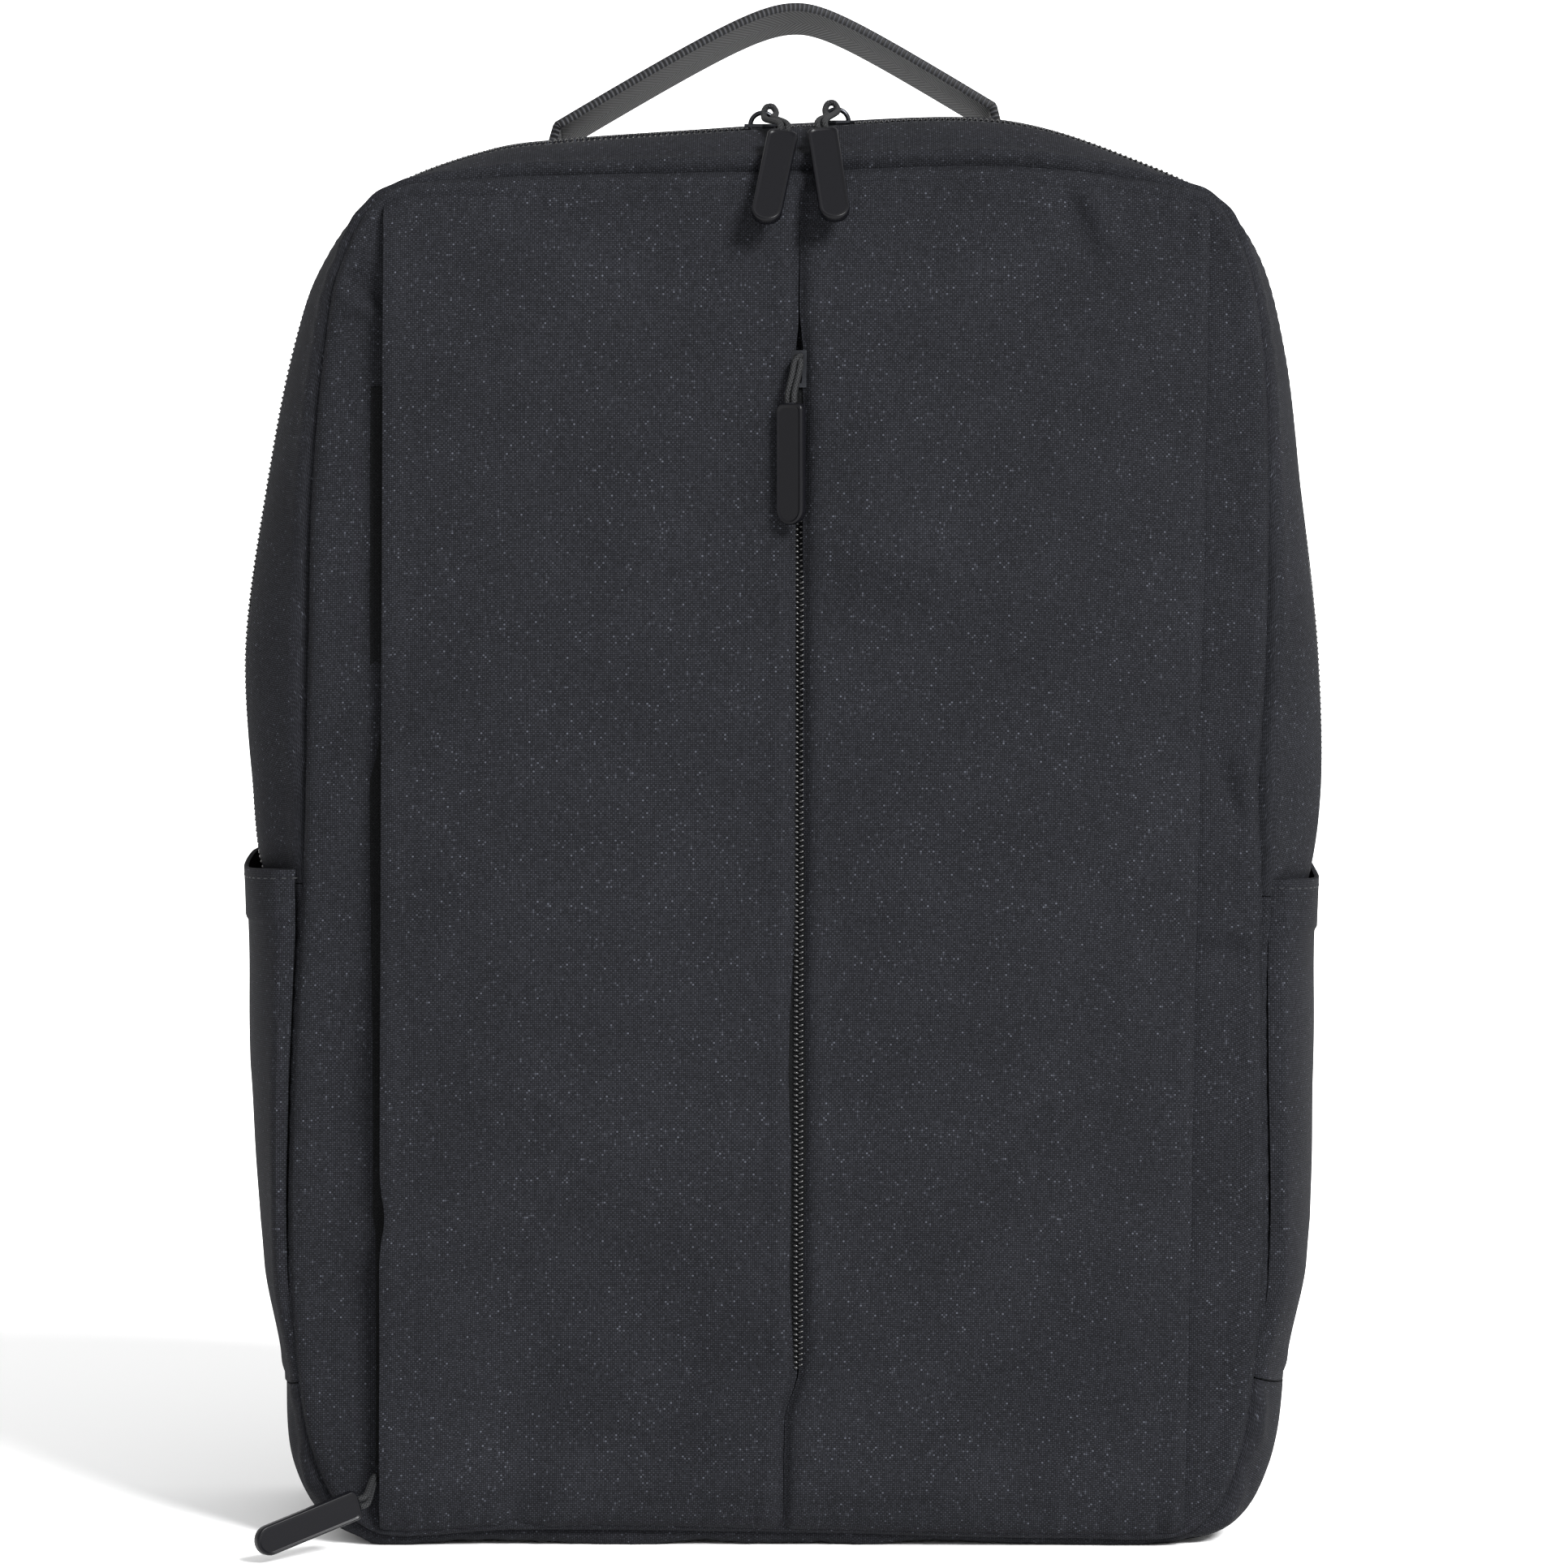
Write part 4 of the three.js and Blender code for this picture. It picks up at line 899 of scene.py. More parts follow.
def buildRowTree():
    tree = bpy.data.node_groups.new("partsAlongPath", "GeometryNodeTree")
    sockets = {}
    wanted = [("Path", "NodeSocketGeometry"), ("Pitch", "NodeSocketFloat"), ("Size", "NodeSocketVector"),
              ("Lift", "NodeSocketFloat"), ("Lean", "NodeSocketFloat"), ("Finish", "NodeSocketMaterial")]
    for name, kind in wanted:
        sockets[name] = tree.interface.new_socket(name, in_out="INPUT", socket_type=kind).identifier
    tree.interface.new_socket("Parts", in_out="OUTPUT", socket_type="NodeSocketGeometry")
    given = addNode(tree, "NodeGroupInput")
    line = addNode(tree, "GeometryNodeMeshToCurve", None, {"Mesh": given.outputs["Path"]})
    points = addNode(tree, "GeometryNodeCurveToPoints", {"mode": "LENGTH"},
                     {"Curve": line.outputs[0], "Length": given.outputs["Pitch"]})
    outward = addNode(tree, "GeometryNodeInputNamedAttribute", {"data_type": "FLOAT_VECTOR"},
                      {"Name": "out"})
    faceUp = addNode(tree, "FunctionNodeAlignRotationToVector", {"axis": "Z", "pivot_axis": "AUTO"},
                     {"Vector": outward.outputs[0]})
    faceOn = addNode(tree, "FunctionNodeAlignRotationToVector", {"axis": "X", "pivot_axis": "Z"},
                     {"Rotation": faceUp.outputs[0], "Vector": points.outputs["Tangent"]})
    lean = addNode(tree, "ShaderNodeCombineXYZ", None, {"Z": given.outputs["Lean"]})
    leanTurn = addNode(tree, "FunctionNodeEulerToRotation", None, {0: lean.outputs[0]})
    turned = addNode(tree, "FunctionNodeRotateRotation", {"rotation_space": "LOCAL"},
                     {"Rotation": faceOn.outputs[0], "Rotate By": leanTurn.outputs[0]})
    rise = addNode(tree, "ShaderNodeVectorMath", {"operation": "SCALE"},
                   {0: outward.outputs[0], "Scale": given.outputs["Lift"]})
    raised = addNode(tree, "GeometryNodeSetPosition", None,
                     {"Geometry": points.outputs["Points"], "Offset": rise.outputs[0]})
    ball = addNode(tree, "GeometryNodeMeshUVSphere", None, bead)
    placed = addNode(tree, "GeometryNodeInstanceOnPoints", None,
                     {"Points": raised.outputs[0], "Instance": ball.outputs["Mesh"],
                      "Rotation": turned.outputs[0], "Scale": given.outputs["Size"]})
    real = addNode(tree, "GeometryNodeRealizeInstances", None, {"Geometry": placed.outputs[0]})
    finish = addNode(tree, "GeometryNodeSetMaterial", None,
                     {"Geometry": real.outputs[0], "Material": given.outputs["Finish"]})
    result = addNode(tree, "NodeGroupOutput")
    tree.links.new(finish.outputs[0], result.inputs[0])
    return tree, sockets


rowTree, rowSockets = buildRowTree()


def partsAlong(name, paths, pitch, size, material, slot, lift=0.0, lean=0.0):
    mesh = bpy.data.meshes.new(name + "Path")
    points = np.concatenate([path for path, out in paths])
    outs = np.concatenate([out for path, out in paths])
    edges = []
    first = 0
    for path, out in paths:
        edges += [(first + i, first + i + 1) for i in range(len(path) - 1)]
        first += len(path)
    mesh.from_pydata((points * mm).tolist(), edges, [])
    layer = mesh.attributes.new("out", "FLOAT_VECTOR", "POINT")
    layer.data.foreach_set("vector", outs.astype(np.float32).ravel())
    guide = placePiece(name + "Path", mesh)
    modifier = guide.modifiers.new("parts", "NODES")
    modifier.node_group = rowTree
    given = {"Pitch": pitch * mm, "Size": tuple(v * mm for v in size), "Lift": lift * mm, "Lean": lean,
             "Finish": material}
    for key, value in given.items():
        modifier[rowSockets[key]] = value
    real = worked(guide)
    guide.modifiers.remove(modifier)
    bpy.data.objects.remove(guide)
    real.materials.clear()
    real.materials.append(material)
    shadeSmooth(real)
    made.append((placePiece(name, real), [], slot))


def lineOn(name, side, distance):  # a line on a finished cloth piece, off one of its sides
    grid, normals = surfaces[name]
    u, v = lengths(grid)
    along = u
    if side in ("low", "high"):
        grid, normals, along = grid.transpose(1, 0, 2), normals.transpose(1, 0, 2), v.T
    measured = along - along[:, [0]] if side in ("left", "low") else along[:, [-1]] - along
    path, out = [], []
    for place, towards, far in zip(grid, normals, measured):
        order = np.argsort(far)
        path.append([np.interp(distance, far[order], place[order, k]) for k in range(3)])
        out.append([np.interp(distance, far[order], towards[order, k]) for k in range(3)])
    return np.array(path), np.array(out)


zipStyle = {  # a size 5 coil; the centre zip's is narrower, since its edges are folded close
    "tooth": (0.95, 2.9, 1.1), "apart": 1.15, "centreTooth": (0.95, 2.3, 1.5), "centreApart": 0.75,
    "pitch": 1.65, "coilHeight": 0.1, "lean": 0.25,
    # how far the near-black side tape shows beside the overlay's edge: a dark strip standing in as painted
    # shade for the shadow under the lifted edge
    "shadeStrip": 3.6, "headAt": 396, "headLong": 40,  # what shows of the side tape beside the overlay's edge
    "sideFoot": 0.05, "sideHead": 0.86, "sideLift": 0.4, "coilTo": 192,  # the centre coil's last row
}


def coilRows(name, path, out, across, size, apart):
    for side in (-1, 1):
        shifted = path + across * side * apart
        if side > 0:  # the two rows of the coil lie half a pitch apart
            step = path[1] - path[0]
            shifted = shifted + step / np.linalg.norm(step) * zipStyle["pitch"] / 2
        partsAlong(name + ("Right" if side > 0 else "Left"), [(shifted, out)], zipStyle["pitch"], size,
                   coilNylon, "zip_tape", lift=zipStyle["coilHeight"], lean=side * zipStyle["lean"])


def makeMainZip():
    rows = (zipEndLeft, zipEndRight + around)
    grid = stripGrid(rows, (zipEdge(-1, 0), zipEdge(1, 0)), 460, 8)
    flat = np.zeros(grid.shape[:2])
    core = np.stack([flat, grid[..., 1], flat + bag["height"] * 0.6], -1)
    inwards = core - grid
    grid = grid + inwards / np.linalg.norm(inwards, axis=-1, keepdims=True) * bag["tapeSunk"]
    clothPiece("mainZipTape", grid, bag["tapeWall"], tapeCloth, ["main_zip"], "zip_tape", turnUv=True)
    normals = normalsOf(grid)
    middle, out = grid[4], normals[4]
    across = grid[5] - grid[3]
    across /= np.linalg.norm(across, axis=-1, keepdims=True)
    coilRows("mainZipCoil", middle, out, across, zipStyle["tooth"], zipStyle["apart"])


def makeCentreZip():
    head, foot = bag["height"] - overlay["headDrop"], overlay["zipFoot"]

    def at(s, t):
        up = lerp(foot, head, t) / bag["height"]
        middle = overlayPoint(-1, np.ones_like(up), up, 0)
        x = middle[..., 0] + overlay["slit"] / 2 + (s - 0.5) * bag["tapeWidth"]
        return np.stack([x, middle[..., 1] + bag["tapeSunk"], middle[..., 2]], -1)

    grid = gridOf(8, 200, at)
    clothPiece("centreZipTape", grid, bag["tapeWall"], tapeCloth, ["centre_zip"], "zip_tape")
    middle = grid[:zipStyle["coilTo"], 4]
    out = np.tile([0.0, -1.0, 0.0], (len(middle), 1))
    across = np.array([1.0, 0, 0])
    coilRows("centreZipCoil", middle, out, across, zipStyle["centreTooth"], zipStyle["centreApart"])


def makeSideZip():
    def at(s, t):
        edge = overlayPoint(-1, np.zeros_like(t), lerp(zipStyle["sideFoot"], zipStyle["sideHead"], t), 0)
        z = edge[..., 2]
        # the tape reaches out past the overlay's edge as a dark strip, painted shade for the shadow in the
        # gap, widest in the upper part
        shadeStrip = zipStyle["shadeStrip"] * smooth(zipStyle["headAt"] - z, 0, zipStyle["headLong"])
        shadeStrip = shadeStrip - 1.4 * smooth(240 - z, 0, 120) - 1.0 * smooth(100 - z, 0, 8)
        x = lerp(edge[..., 0] - shadeStrip, edge[..., 0] + bag["tapeWidth"], s)
        return np.stack([x, frontY(x, z) - zipStyle["sideLift"], z], -1)

    grid = gridOf(8, 200, at)
    clothPiece("sideZipTape", grid, bag["tapeWall"], tapeCloth, ["side_zip"], "zip_tape")


makeMainZip()
makeCentreZip()
makeSideZip()
print("zips made")

pull = {
    "tabLength": 35.6, "tabWidth": 9, "tabWall": 3, "rim": 0.75, "recess": 0.35, "shoulder": 1.6,
    "cord": 1.9, "cordSpread": 2.2, "lead": 2.5,
    "slider": (11, 7.5, 3.2), "lowSlider": 2.4, "bailRadius": 4.4, "bailWire": 1.5,
    "topReach": 27, "topForward": 24.3, "topDown": 26,
    "centreDrop": 59, "centreCord": 10.4, "centreShift": -2.5, "centreTurn": 33.5, "standOff": 4.8,
    "sideHeight": 17, "topSink": 1.7, "centreSink": 4.6, "ringShift": {"left": 2.2, "right": -1.4},
    "cordSteps": 110, "cordSides": 12, "bailSteps": 26, "bailSides": 10, "bevel": 0.22,
    "sideTop": (-6, -9, -6), "sideWay": (-29, -18, -9.5),
}


def unit(v):
    v = np.asarray(v, float)
    return v / np.linalg.norm(v)


def smoothPath(points, count):
    p = [np.asarray(point, float) for point in points]
    p = [2 * p[0] - p[1]] + p + [2 * p[-1] - p[-2]]
    spans = len(p) - 3
    path = []
    for step in np.linspace(0, spans, count):
        i = min(int(step), spans - 1)
        path.append(throughKnots(p[i:i + 4], step - i))
    return np.array(path)


def tubePiece(path, radius, sides):  # points, faces and UVs of a round tube with closed ends
    tangents = np.gradient(path, axis=0)
    tangents /= np.linalg.norm(tangents, axis=1, keepdims=True)
    side = unit(np.cross(tangents[0], [0.3, 0.9, 0.31]))
    points, uvs = [], []
    run = np.concatenate([[0], np.cumsum(np.linalg.norm(np.diff(path, axis=0), axis=1))])
    for centre, tangent, far in zip(path, tangents, run):
        side = unit(side - tangent * np.dot(side, tangent))
        other = np.cross(tangent, side)
        for k in range(sides):
            turn = 2 * math.pi * k / sides
            points.append(centre + radius * (math.cos(turn) * side + math.sin(turn) * other))
            uvs.append((turn * radius, far))
    return points, ringFaces(len(path), sides), uvs


def makeCord(name, node, points):
    path = smoothPath(points, pull["cordSteps"])
    points, faces, uvs = tubePiece(path, pull["cord"] / 2, pull["cordSides"])
    piece = meshPiece(name, points, faces, uvs, cordBraid)
    made.append((piece, [node], "pull_cord"))


def tabOutline(inset, count=14):  # flat top with small shoulders, round foot; x across and z down
    half = pull["tabWidth"] / 2 - inset
    foot = pull["tabLength"] - inset
    shoulder = pull["shoulder"]
    points = []
    for k in range(count + 1):
        turn = math.pi * k / count
        points.append((-half * math.cos(turn), -(foot - half) - half * math.sin(turn)))
    for side, first in ((1, 0), (-1, 1)):
        for k in range(5):
            turn = math.pi / 2 * (first + k / 4)
            points.append((side * (half - shoulder) + shoulder * math.cos(turn),
                           -inset - shoulder + shoulder * math.sin(turn)))
    return points


def makeTab(name, node, top, end, facing):
    half = pull["tabWall"] / 2
    rim, recess = pull["rim"], pull["recess"]
    front = [(rim + 0.55, -half + recess), (rim + 0.35, -half + recess), (rim + 0.1, -half + recess * 0.5),
             (rim - 0.1, -half + 0.03), (0.5, -half), (0.3, -half + 0.1), (0.1, -half + 0.32),
             (0, -half + 0.65)]
    profile = front + [(inset, -y) for inset, y in reversed(front)]
    rings = [[(x, y, z) for x, z in tabOutline(inset)] for inset, y in profile]
    size = len(rings[0])
    down = unit(end - top)
    side = unit(np.cross(-np.asarray(facing, float), -down))
    back = np.cross(-down, side)
    points = [top + side * x + back * y - down * z for ring in rings for x, y, z in ring]
    piece = meshPiece(name, points, ringFaces(len(rings), size), None, tabPlastic)
    made.append((piece, [node], "pull_plastic"))


def plateMesh(work, outlinePoints, low, high):
    bottom = [work.verts.new((x, y, low)) for x, y in outlinePoints]
    top = [work.verts.new((x, y, high)) for x, y in outlinePoints]
    work.faces.new(bottom[::-1])
    work.faces.new(top)
    for k in range(len(bottom)):
        nextOne = (k + 1) % len(bottom)
        work.faces.new((bottom[k], bottom[nextOne], top[nextOne], top[k]))


def makeSlider(name, node, seat, along, out, wall, bail=True):
    length, width, _ = pull["slider"]
    work = bmesh.new()
    shield = [(-0.5, -0.32), (-0.36, -0.46), (0.0, -0.5), (0.36, -0.4), (0.5, -0.26),
              (0.5, 0.26), (0.36, 0.4), (0.0, 0.5), (-0.36, 0.46), (-0.5, 0.32)]
    core = [(x * 0.62, y * 0.55) for x, y in shield]
    for shape, low, high in ((shield, 0, 0.28), (core, 0.28, 0.7), (shield, 0.7, 1.0)):
        plateMesh(work, [(x * length, y * width) for x, y in shape], low * wall, high * wall)
    bmesh.ops.bevel(work, geom=list(work.edges), offset=pull["bevel"], segments=2, profile=0.7,
                    affect="EDGES")
    if bail:
        radius = pull["bailRadius"] - pull["bailWire"] / 2
        turns = np.linspace(0.04, math.pi - 0.04, pull["bailSteps"])
        height = wall - pull["bailWire"] / 4 + np.sin(turns) * radius
        path = np.stack([np.cos(turns) * radius, np.zeros_like(turns), height], -1)
        points, faces, _ = tubePiece(path, pull["bailWire"] / 2, pull["bailSides"])
        ring = [work.verts.new(point) for point in points]
        for face in faces:
            work.faces.new([ring[k] for k in face])
    side = unit(np.cross(out, along))
    frameOf = np.stack([unit(along), side, unit(out)], 1)
    for vertex in work.verts:
        local = np.array(vertex.co)
        vertex.co = ((frameOf @ local + seat + np.asarray(out) * bag["seamGap"]) * mm).tolist()
    bmesh.ops.recalc_face_normals(work, faces=work.faces)
    mesh = bpy.data.meshes.new(name)
    work.to_mesh(mesh)
    work.free()
    mesh.materials.append(sliderZinc)
    shadeSmooth(mesh, sharp=40)
    made.append((placePiece(name, mesh), [node], "slider_metal"))


def strandsAt(top, end, facing):
    down = unit(end - top)
    side = unit(np.cross(down, unit(facing)))

    def along(offset, back):
        return top + side * offset * pull["cordSpread"] / 2 - down * (bag["seamGap"] + back)

    return along(1, 0), along(1, pull["lead"]), along(-1, 0), along(-1, pull["lead"])


def makeTopPull(word, row, tabX, lean, lift):
    seat = bodyPoint(np.array(row), bag["mainZip"])
    seat[2] -= bag["tapeSunk"] / 2
    out = np.array([0, 0, 1.0])
    eye = seat + out * (bag["seamGap"] + pull["slider"][2] + pull["bailWire"] * 0.7)
    top = np.array([tabX, seat[1] - pull["topReach"], seat[2] + lift])
    end = top + np.array([lean, -pull["topForward"], -pull["topDown"]])
    facing = unit([0, -1, 0.9])
    near, nearLead, far, farLead = strandsAt(top, end, facing)
    way = 1 if near[0] > far[0] else -1  # the loop opens out over the bail as a small ring
    hops = [(1.4, -6.5, -1.2), (1.8, -2.0, -0.6), (1.8, 0.8, 0.9), (1.0, 1.6, 2.2), (-0.5, 1.4, 2.4),
            (-1.6, 0.6, 1.2), (-1.7, -2.0, 0.0), (-0.9, -6.5, -0.6)]
    points = [near, nearLead]
    points += [eye + np.array([way * x + pull["ringShift"][word], y, z]) for x, y, z in hops] + [farLead, far]
    title = word.capitalize()
    low = seat - out * pull["topSink"]
    along = np.array([1.0, 0, 0])
    makeSlider("sliderTop" + title, "slider_top_" + word, low, along, out, pull["slider"][2])
    makeCord("pullCordTop" + title, "pull_cord_top_" + word, points)
    makeTab("pullTabTop" + title, "pull_tab_top_" + word, top, end, facing)


def makeCentrePull():
    share = 1 - pull["centreDrop"] / bag["height"]
    halfSlider = pull["slider"][0] / 2 / bag["height"]
    lift = overlay["wall"] + bag["seamGap"]
    seat = overlayPoint(-1, 1.0, share, lift)
    above = overlayPoint(-1, 1.0, share + halfSlider, lift)
    along = unit([0, above[1] - seat[1], above[2] - seat[2]])
    out = np.cross([1, 0, 0], along)
    seat[0] += overlay["slit"] / 2
    eye = seat + out * (bag["seamGap"] + pull["slider"][2] + pull["bailWire"] * 0.7)

    def hangY(z):
        return overlayPoint(-1, 1.0, z / bag["height"], overlay["wall"])[1] - pull["standOff"]

    top = eye + np.array([pull["centreShift"], 0, -pull["centreCord"]])
    end = top - np.array([0, 0, pull["tabLength"]])
    top[1], end[1] = hangY(top[2]), hangY(end[2])
    turn = math.radians(pull["centreTurn"])
    facing = np.array([-math.sin(turn), -math.cos(turn), 0])
    near, nearLead, far, farLead = strandsAt(top, end, facing)
    way = 1 if near[0] > far[0] else -1
    hops = [(way * 1.0 - 1.2, 0.2, -2.0), (way * 0.9 - 0.4, 1.6, 2.0), (0.3, 3.6, 3.4), (-0.4, 5.0, 1.6),
            (-0.9, 3.6, 3.0), (-way * 0.9 - 0.6, 1.4, 1.8), (-way * 1.0 - 1.4, 0.2, -2.2)]
    points = [near, nearLead] + [eye + np.array(hop) for hop in hops] + [farLead, far]
    low = seat - out * pull["centreSink"]  # it runs behind the folded edges
    makeSlider("sliderCentre", "slider_centre", low, along, out, pull["slider"][2])
    makeCord("pullCordCentre", "pull_cord_centre", points)
    makeTab("pullTabCentre", "pull_tab_centre", top, end, facing)


def makeSidePull():
    edge = overlayPoint(-1, 0.0, pull["sideHeight"] / bag["height"], 0)
    tapeY = frontY(edge[0], edge[2]) - bag["seamGap"] - bag["tapeWall"]
    seat = np.array([edge[0] + bag["tapeWidth"] / 2, tapeY, edge[2]])
    top = edge + np.array(pull["sideTop"])
    end = top + unit(pull["sideWay"]) * pull["tabLength"]
    facing = np.array([0, -1, -0.1])
    near, nearLead, far, farLead = strandsAt(top, end, facing)
    bend = seat + np.array([-pull["slider"][1] / 2 - bag["seamGap"] - pull["cord"] / 2,
                            -bag["seamGap"] - pull["lowSlider"] / 2, 0])
    half = pull["cordSpread"] / 2 * (1 if near[2] > far[2] else -1)
    points = [near, nearLead, bend + np.array([-1.5, -0.8, half * 0.6]), bend + np.array([1.2, 0.4, 0]),
              bend + np.array([-1.5, -0.8, -half * 0.6]), farLead, far]
    makeSlider("sliderSide", "slider_side", seat, np.array([0, 0, 1.0]), np.array([0, -1.0, 0]),
               pull["lowSlider"], bail=False)
    makeCord("pullCordSide", "pull_cord_side", points)
    makeTab("pullTabSide", "pull_tab_side", top, end, facing)


topPulls = [("left", -0.155, 0, -5.6, -0.2), ("right", 0.17, 11.5, 4.1, -0.45)]
for word, row, tabX, lean, lift in topPulls:
    makeTopPull(word, row, tabX, lean, lift)
makeCentrePull()
makeSidePull()
print("zip pulls made")

strap = {
    "length": 236, "topWidth": 62, "footWidth": 50, "wall": 8, "topX": 50, "footInset": 71, "topDrop": 28,
    "bow": 24, "web": 25, "webWall": 1.6, "webInset": 41, "webFoot": 26, "lock": (32, 24, 4), "bar": 4,
    "cells": (18, 80), "blunt": (0.25, 0.4), "rim": 1.2, "binding": 1.7,
}
swelling = {  # the padding's simulation
    "voxel": 2.5, "pressure": 4.0, "most": 1.8, "quality": 5, "tension": 20, "bending": 2, "frames": 20,
}


def strapLine(side, share):
    ease = smooth(share)
    x = side * lerp(strap["topX"], bag["halfWidth"] - strap["footInset"], ease)
    z = bag["height"] - strap["topDrop"] - strap["length"] * share
    bow = strap["bow"] * np.sin(math.pi * np.minimum(1, share * 0.82)).clip(0) ** 1.2
    y = backY(x, z) + strap["wall"] + bag["seamGap"] * 2 + bow
    return np.stack([x, y, z], -1)


def padShape(side, shrink):  # a closed pad with rounded edges
    columns, rows = strap["cells"]
    acrossPower, thickPower = strap["blunt"]
    loops = []
    for j in range(rows + 1):
        t = j / rows
        centre = strapLine(side, np.array(t))
        ahead = strapLine(side, np.array(min(1.0, t + 0.01)))
        behind = strapLine(side, np.array(max(0.0, t - 0.01)))
        along = unit(ahead - behind)
        out = unit(np.cross(along, [1, 0, 0]))
        out = out if out[1] > 0 else -out
        width = lerp(strap["topWidth"], strap["footWidth"], t) / 2 - shrink
        half = strap["wall"] / 2 - shrink
        middle = centre - out * strap["wall"] / 2
        loop = []
        for k in range(4 * columns):
            turn = 2 * math.pi * k / (4 * columns)
            across = math.copysign(abs(math.cos(turn)) ** acrossPower, math.cos(turn))
            thick = math.copysign(abs(math.sin(turn)) ** thickPower, math.sin(turn))
            loop.append(middle + np.array([1, 0, 0]) * across * width + out * thick * half)
        loops.append(loop)
    return [point for loop in loops for point in loop], ringFaces(rows + 1, 4 * columns)


def swell(piece):  # the foam's push on its cloth, worked out by a short cloth simulation
    remesh = piece.modifiers.new("remesh", "REMESH")
    remesh.mode = "VOXEL"
    remesh.voxel_size = swelling["voxel"] * mm
    start = worked(piece)
    piece.modifiers.remove(remesh)
    piece.data = start
    rest = np.zeros(len(start.vertices) * 3, np.float32)
    start.vertices.foreach_get("co", rest)
    cloth = piece.modifiers.new("cloth", "CLOTH")
    cloth.settings.quality = swelling["quality"]
    cloth.settings.use_pressure = True
    cloth.settings.uniform_pressure_force = swelling["pressure"]
    cloth.settings.effector_weights.gravity = 0
    cloth.settings.tension_stiffness = swelling["tension"]
    cloth.settings.bending_stiffness = swelling["bending"]
    cloth.point_cache.frame_start = 1
    cloth.point_cache.frame_end = swelling["frames"]
    for step in range(1, swelling["frames"] + 1):
        scene.frame_set(step)
    swollen = worked(piece)
    moved = np.zeros(len(swollen.vertices) * 3, np.float32)
    swollen.vertices.foreach_get("co", moved)
    piece.modifiers.remove(cloth)
    shift = (moved - rest).reshape(-1, 3)
    far = np.linalg.norm(shift, axis=1, keepdims=True)
    most = swelling["most"] * mm
    shift *= np.minimum(1, most / np.maximum(far, 1e-9))
    start.vertices.foreach_set("co", (rest.reshape(-1, 3) + shift).ravel())
    scene.frame_set(1)
    rounder = piece.modifiers.new("rounder", "SUBSURF")
    rounder.levels = rounder.render_levels = 1
    final = worked(piece)
    piece.modifiers.remove(rounder)
    piece.data = final
    shadeSmooth(final)


def makeStrap(side):
    word = "right" if side > 0 else "left"
    title = word.capitalize()
    points, faces = padShape(side, strap["rim"])
    pad = meshPiece("shoulderPad" + title, points, faces, None, padFoamCloth)
    swell(pad)
    pad.data.materials.clear()
    pad.data.materials.append(padFoamCloth)
    made.append((pad, ["shoulder_pad_" + word], "padded_cloth"))
    for way, edgeTitle in ((-1, "Left"), (1, "Right")):
        path = []
        for share in np.linspace(0.012, 0.988, 90):
            centre = strapLine(side, np.array(share))
            width = lerp(strap["topWidth"], strap["footWidth"], share) / 2 - strap["rim"]
            path.append(centre + np.array([way * width, -strap["wall"] / 2, 0]))
        points, faces, uvs = tubePiece(np.array(path), strap["binding"], 10)
        piece = meshPiece("padBinding" + title + edgeTitle, points, faces, uvs, bindingTape)
        made.append((piece, [], "webbing"))
    makeLock(word)
    makeLowerWeb(side, word)


def makeLock(word):
    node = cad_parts["ladder_lock_" + word]
    mesh = node.data.copy()
    work = bmesh.new()
    work.from_mesh(mesh)
    bmesh.ops.transform(work, matrix=node.matrix_world, verts=work.verts)
    bmesh.ops.remove_doubles(work, verts=work.verts, dist=1e-5)
    bmesh.ops.dissolve_limit(work, angle_limit=math.radians(3), verts=work.verts, edges=work.edges)
    bmesh.ops.bevel(work, geom=list(work.edges), offset=0.7 * mm, segments=3, profile=0.6, affect="EDGES")
    bmesh.ops.recalc_face_normals(work, faces=work.faces)
    work.to_mesh(mesh)
    work.free()
    mesh.materials.clear()
    mesh.materials.append(lockPlastic)
    shadeSmooth(mesh, sharp=40)
    piece = placePiece("ladderLock" + word.capitalize(), mesh)
    made.append((piece, ["ladder_lock_" + word], "buckle_plastic"))


def makeLowerWeb(side, word):
    foot = strapLine(side, np.array(1.0))
    lockHigh, lockWall = strap["lock"][1], strap["lock"][2]
    start = np.array([foot[0], foot[1] - lockWall - bag["seamGap"], foot[2] - strap["bar"]])
    endX = side * (bag["halfWidth"] - strap["webInset"])
    endY = backY(endX, strap["webFoot"]) + strap["webWall"] + bag["seamGap"] * 2
    end = np.array([endX, endY, strap["webFoot"]])

    def at(s, t):
        flat = np.minimum(1, t * (start[2] - end[2]) / lockHigh)
        run = lerp(t * 0.2, t, flat)
        x = lerp(start[0], end[0], t) + (s - 0.5) * strap["web"]
        y = lerp(start[1], end[1], np.minimum(1, run) ** 1.6)
        return np.stack([x, y, lerp(start[2], end[2], t)], -1)

    grid = gridOf(16, 120, at)
    clothPiece("lowerWebbing" + word.capitalize(), grid, strap["webWall"], strapWeb,
               ["lower_webbing_" + word], "webbing")


for side in (-1, 1):
    makeStrap(side)
print("shoulder straps made")

stitch = {"pitch": 3.4, "webPitch": 2.8, "size": (2.5, 0.45, 0.4), "lift": -0.06}


def sew(name, pitch, distance, edges):
    lines = [lineOn(piece, side, distance) for piece, side in edges]
    partsAlong(name, lines, pitch, stitch["size"], threadPolyester, "bag_cloth", lift=stitch["lift"])


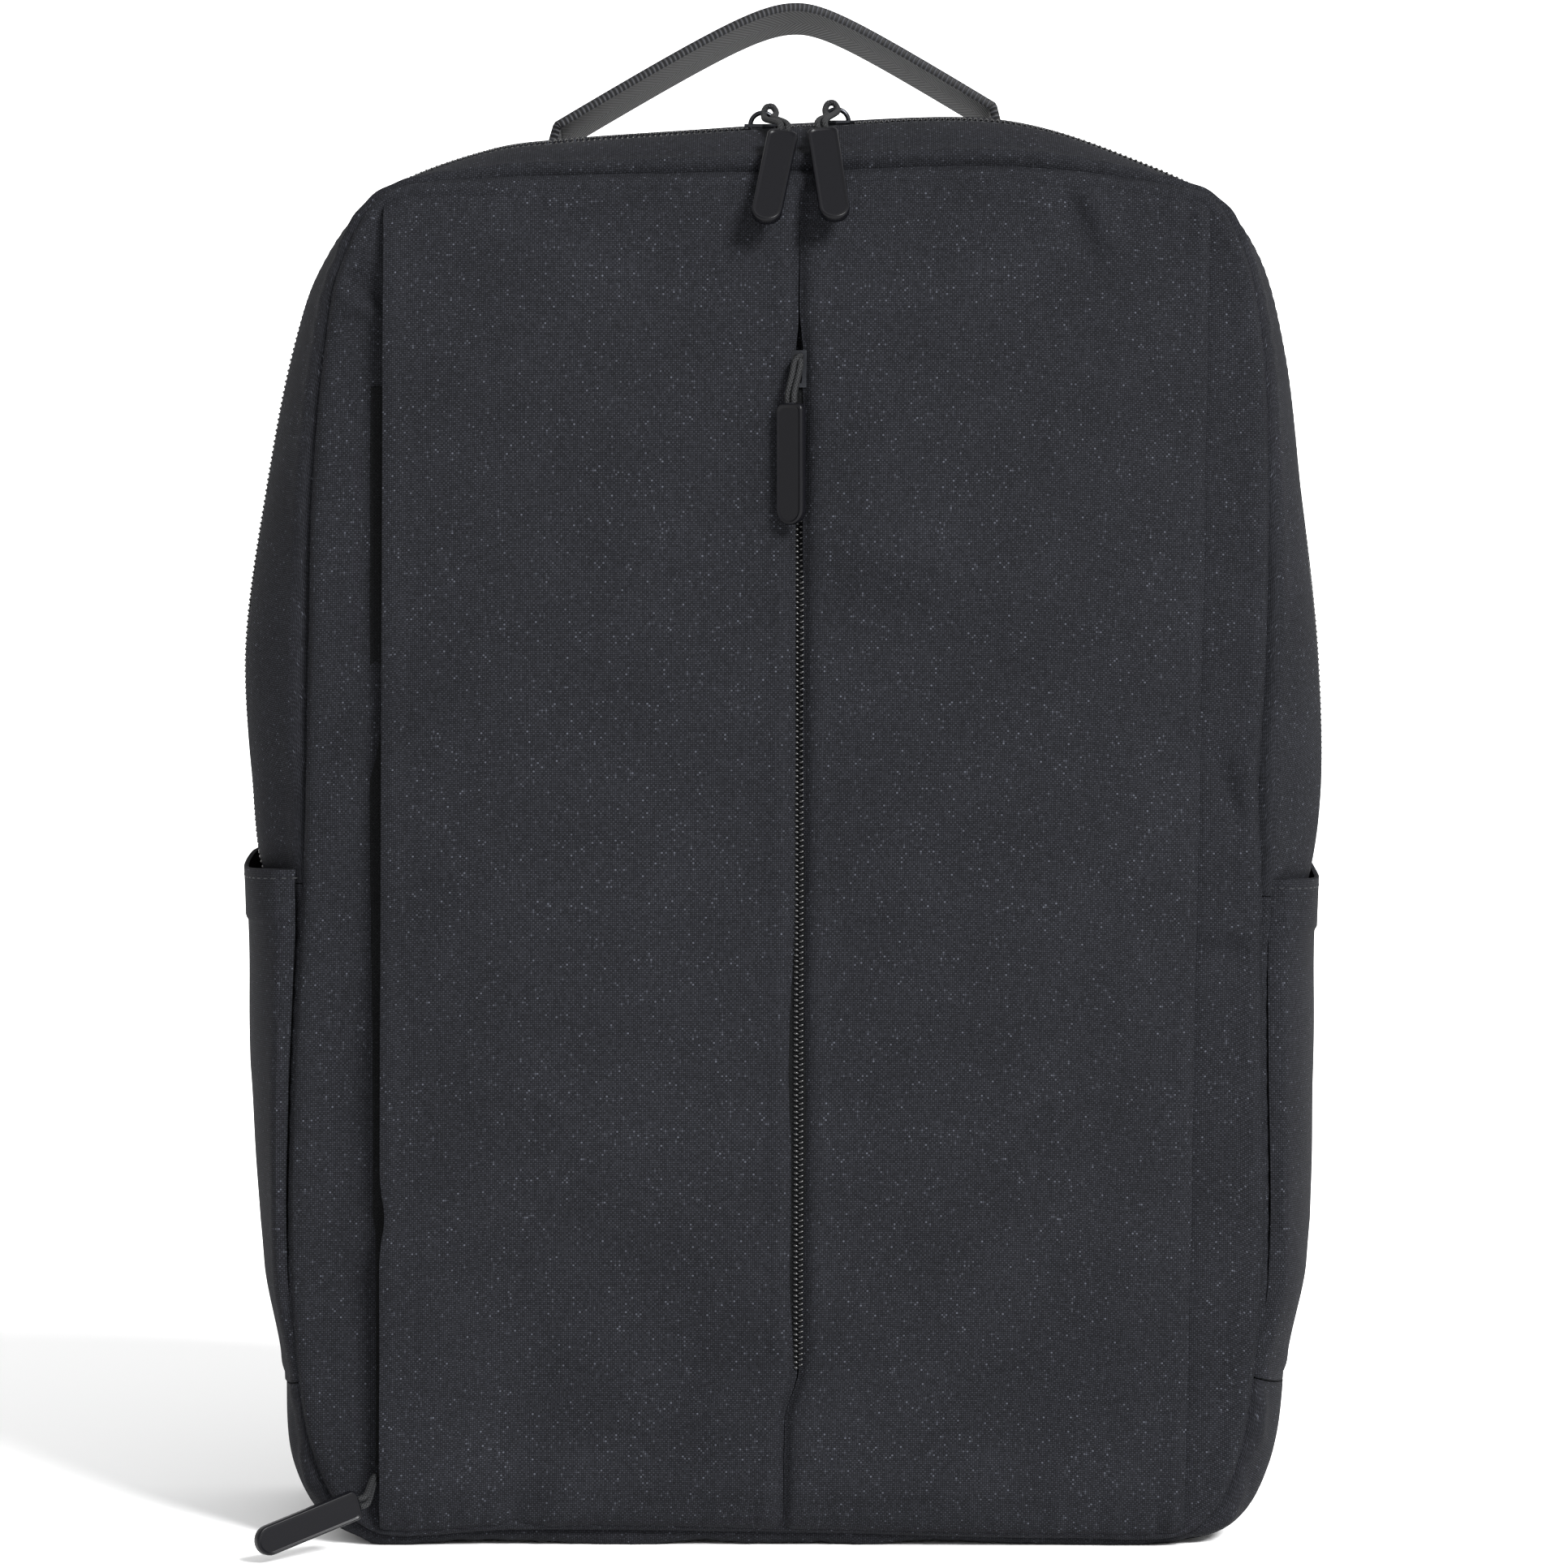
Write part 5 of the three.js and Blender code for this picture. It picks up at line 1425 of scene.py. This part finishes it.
sew("pocketHemStitches", stitch["pitch"], pocket["stitchIn"],
    [("sidePocketLeft", "high"), ("sidePocketRight", "high")])
sew("mainZipStitches", stitch["pitch"], 1.8, [("gussetFront", "high"), ("gussetRear", "low")])
sew("backPanelStitches", stitch["pitch"], 7, [("backPanel", side) for side in ("left", "right", "high")])
sew("lowerWebStitches", stitch["webPitch"], 1.6,
    [("lowerWebbing" + word, side) for word in ("Left", "Right") for side in ("left", "right")])
print("stitches made")

studio = {  # the photo's key light comes from the right, a little above
    "floor": "#ffffff", "backdrop": 1.0, "key": 7.6, "keySize": 20, "keyTurn": 36, "keyClimb": 36,
    "floorSize": 400, "floorDrop": 0.0002,  # metres; a smaller floor would end within the picture
}


def makeStudio():
    bpy.ops.mesh.primitive_plane_add(size=studio["floorSize"], location=(0, 0, -studio["floorDrop"]))
    floor = bpy.context.object
    floor.name = "studioFloor"
    material, tree = newMaterial("pale painted floor")
    shader = addNode(tree, "ShaderNodeBsdfPrincipled", None,
                     {"Base Color": linear(studio["floor"]), "Roughness": 0.8})
    addNode(tree, "ShaderNodeOutputMaterial", None, {"Surface": shader.outputs[0]})
    floor.data.materials.append(material)
    world = bpy.data.worlds.new("studioLight")
    scene.world = world
    world.use_nodes = True
    background = world.node_tree.nodes["Background"]
    background.inputs[0].default_value = (1, 1, 1, 1)
    background.inputs[1].default_value = studio["backdrop"]
    data = bpy.data.lights.new("keyLight", "SUN")
    data.energy = studio["key"]
    data.angle = math.radians(studio["keySize"])
    lamp = bpy.data.objects.new("keyLight", data)
    turn, climb = (math.radians(studio[name]) for name in ("keyTurn", "keyClimb"))
    place = Vector((math.sin(turn) * math.cos(climb), -math.cos(turn) * math.cos(climb), math.sin(climb)))
    lamp.rotation_euler = place.to_track_quat("Z", "Y").to_euler()
    scene.collection.objects.link(lamp)
    scene.view_settings.view_transform = "Standard"


makeStudio()

for piece, nodes, slot in made:
    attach(piece, "root")
    if nodes:
        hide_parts(*nodes)

print("scene finished")
